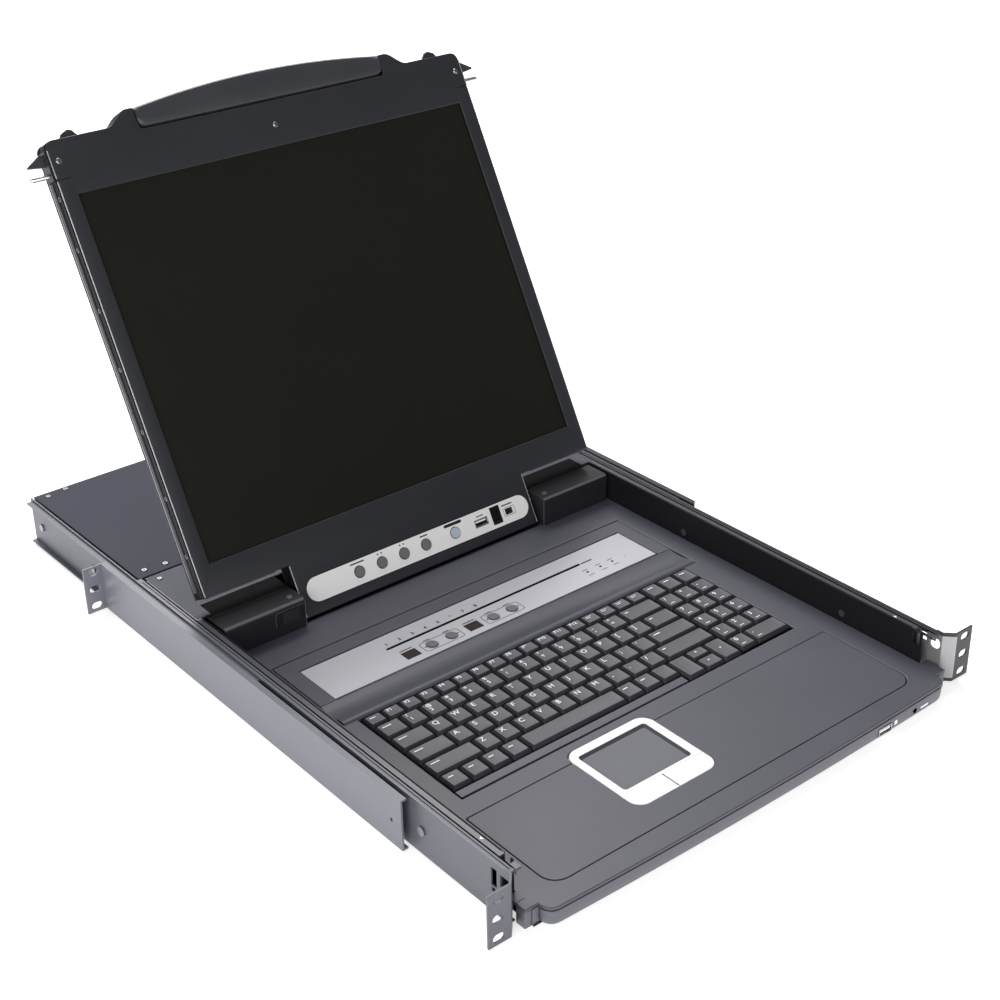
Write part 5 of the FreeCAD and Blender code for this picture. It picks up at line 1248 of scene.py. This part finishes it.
def catch_pieces(word, side):
    """Steel pin with a stepped tip; dark bevelled tab and triangular thumb tab."""
    body = "catch_" + word
    low, high = lid_span(body)
    start = 196.0
    length = max(abs(low[0]), abs(high[0])) - start
    tip = [(2.1, 0), (2.1, length - 1.6), (2.0, length - 1.4), (1.8, length - 1.2),
           (1.8, length - 0.5), (1.3, length)]
    pin = turned_mesh(tip, (side * start, CATCH_LINE, 0.3), OUTWARDS[word], 24)
    lid_piece("catch_pin_" + word, pin, PIN_STEEL, body, stands_for=[body], slot="bare_steel")
    wedge = [(start, 378.6), (205.5, 378.6), (217, 380), (217, 381.4), (205.5, 388.2), (start, 388.2)]
    thumb = [(167.5, 388), (184, 388), (184, 397.2), (181.5, 401.0), (176.0, 403.4), (172.5, 402.6),
             (168.5, 397.4)]
    for part, outline, edge in (("tab", wedge, 0.3), ("thumb", thumb, 0.4)):
        loop = [(side * x, y) for x, y in outline]
        lid_piece(f"catch_{part}_{word}", plate_mesh([loop], -1.2, 1.8, edge), HANDLE, body)


lid_front()
lid_back()
lid_edge_lines()
for word, side in SIDES.items():
    lid_side_pieces(word, side)
grip(HANDLE_FOOT + 0.4)
grip_dots(HANDLE_FOOT + 0.4)
strip_print()
data_socket(STRIP_HIGH[2])
phone_jack(STRIP_HIGH[2])
for word, side in SIDES.items():
    catch_pieces(word, side)


# ---- rail details --------------------------------------------------------------------------

RAIL_TOP = 21.2
EAR_INSIDE = 214.75


def rail_marks(side, word):
    """White triangle on the moving rail's top flange, beside the palm rest."""
    x, y, z = side * 207.4, 48.0, span("inner_rail_" + word)[1][2] + 0.03
    mark = mark_mesh([(x - 1.0 * side, y - 2.0), (x + 1.3 * side, y), (x - 1.0 * side, y + 2.0)], z)
    keep("rail_mark_" + word, mark, INK_LIGHT, smooth=False)


def rail_line(side, inner, outer, run, levels):
    """Thin straight strip along a rail, between two places along it and two heights."""
    low, high = mirrored(side, inner, outer)
    return box_mesh((low, run[0], levels[0]), (high, run[1], levels[1]))


def rail_shadows_and_highlights(side, word):
    """Painted shadow in the running gaps along the rail tops and a painted highlight along the outer
    edge.
    """
    # Painted shadow: dark strips in the gaps between the rail tops.
    gaps = [rail_line(side, 209.85, 211.15, (12.0, 480.0), (RAIL_TOP - 0.08, RAIL_TOP + 0.02)),
            rail_line(side, 212.75, 213.45, (12.0, 480.0), (RAIL_TOP - 0.08, RAIL_TOP + 0.02))]
    keep("rail_gap_shadow_" + word, joined(gaps), SHADOW, "rack_frame", smooth=False)
    level = span("inner_rail_" + word)[1][2]
    # Painted shadow in the gap between tray and moving rail.
    keep("tray_gap_shadow_" + word, rail_line(side, 204.8, 205.7, (30.0, 401.0), (level - 0.07, level + 0.03)),
         SHADOW, smooth=False)
    # Painted highlight along the rail's outer top edge.
    keep("rail_edge_highlight_" + word, rail_line(side, 215.45, 215.95, (14.0, 486.0), (RAIL_TOP, RAIL_TOP + 0.04)),
         ROLL_EDGE_HIGHLIGHT, "rack_frame", smooth=False)


def bare_rail_end():
    """Unpainted steel inside the bend of the right front ear, where the drawer rubs."""
    inner = EAR_INSIDE
    outline = [(inner, 34.0), (inner - 0.5, 34.0), (inner - 0.5, 7.3), (221.4, -0.15),
               (222.6, -0.15), (222.6, 0.0), (222.0, 0.0), (inner, 7.6)]
    hole = turned_mesh([(4.9, -4), (4.9, 4)], (inner, 13.6, 10.6), "x", 28)
    slot = box_mesh((inner - 4, 21.5, 9.0), (inner + 4, 27.5, 22.0))
    sheet = plate_mesh([outline], -18.0, 19.5, 0.02)
    keep("bare_rail_end", carved(sheet, [hole, slot]), RUBBED, "rack_frame")


for word, side in SIDES.items():
    rail_marks(side, word)
for word, side in SIDES.items():
    rail_shadows_and_highlights(side, word)
bare_rail_end()


# ---- floor, light and camera ---------------------------------------------------------------

# The floor, the soft boxes and the camera are placed in metres.
FLOOR_REACH, FLOOR_GAP = 30.0, 0.0005
FLOOR_TONE = (0.88, 0.88, 0.88, 1)
FLOOR_GLOW, SKY_GLOW = 0.60, 0.19
WHITE_LIGHT = (1, 1, 1, 1)
# Soft boxes: name, place from the middle of the object, size, watts.
SOFT_BOXES = (
    ("back_box", (0.5, 1.85, 2.05), 2.4, 106),
    ("left_box", (-2.2, -1.1, 0.55), 1.6, 31),
    ("over_box", (1.3, 0.3, 1.9), 0.7, 3),
    ("front_box", (-0.3, -2.5, 0.8), 1.6, 16),
)


def pale_floor():
    """Wide sheet of white paper just under the object, lifted a little towards plain white."""
    level = CAD_BOX[0][2] - FLOOR_GAP
    mesh = bpy.data.meshes.new("floor")
    signs = ((-1, -1), (1, -1), (1, 1), (-1, 1))
    mesh.from_pydata([(x * FLOOR_REACH, y * FLOOR_REACH, level) for x, y in signs], [], [(0, 1, 2, 3)])
    floor = bpy.data.objects.new("floor", mesh)
    bpy.context.scene.collection.objects.link(floor)
    paper = finish("floor_paper", FLOOR_TONE, 0.9, grain=2.0, depth=0.02, mottle=0.01)
    mesh.materials.append(paper)
    shader = paper.node_tree.nodes["Principled BSDF"]
    shader.inputs["Emission Color"].default_value = WHITE_LIGHT
    shader.inputs["Emission Strength"].default_value = FLOOR_GLOW


def studio_light():
    """Even pale surroundings and four soft boxes that face the object."""
    scene = bpy.context.scene
    scene.world = bpy.data.worlds.new("studio")
    scene.world.use_nodes = True
    sky = scene.world.node_tree.nodes["Background"]
    sky.inputs["Color"].default_value = WHITE_LIGHT
    sky.inputs["Strength"].default_value = SKY_GLOW
    middle = (Vector(CAD_BOX[0]) + Vector(CAD_BOX[1])) / 2
    for name, offset, wide, watts in SOFT_BOXES:
        light = bpy.data.lights.new(name, "AREA")
        light.size = wide
        light.energy = watts
        box = bpy.data.objects.new(name, light)
        box.location = middle + Vector(offset)
        box.rotation_euler = (middle - box.location).to_track_quat("-Z", "Y").to_euler()
        scene.collection.objects.link(box)
    scene.view_settings.view_transform = "Standard"


AZIMUTH, ELEVATION, ROLL = map(math.radians, (-38.97, 28.27, -0.99))
CAMERA_AT = Vector((-0.7706, -0.6739, 0.76267))
LENS, SENSOR = 64.1, 36.0


def camera():
    """Camera at the viewing angle: azimuth from the front, elevation and a slight roll."""
    away = Vector((math.sin(AZIMUTH) * math.cos(ELEVATION),
                   -math.cos(AZIMUTH) * math.cos(ELEVATION), math.sin(ELEVATION)))
    right = (-away).cross(Vector((0, 0, 1))).normalized()
    upward = right.cross(-away)
    across = right * math.cos(ROLL) + upward * math.sin(ROLL)
    above = upward * math.cos(ROLL) - right * math.sin(ROLL)
    data = bpy.data.cameras.new("camera")
    data.lens = LENS
    data.sensor_width = SENSOR
    eye = bpy.data.objects.new("camera", data)
    turn = Matrix((across, above, away)).transposed().to_4x4()
    eye.matrix_world = Matrix.Translation(CAMERA_AT) @ turn
    bpy.context.scene.collection.objects.link(eye)
    bpy.context.scene.camera = eye


pale_floor()
studio_light()
camera()

bpy.context.view_layer.update()
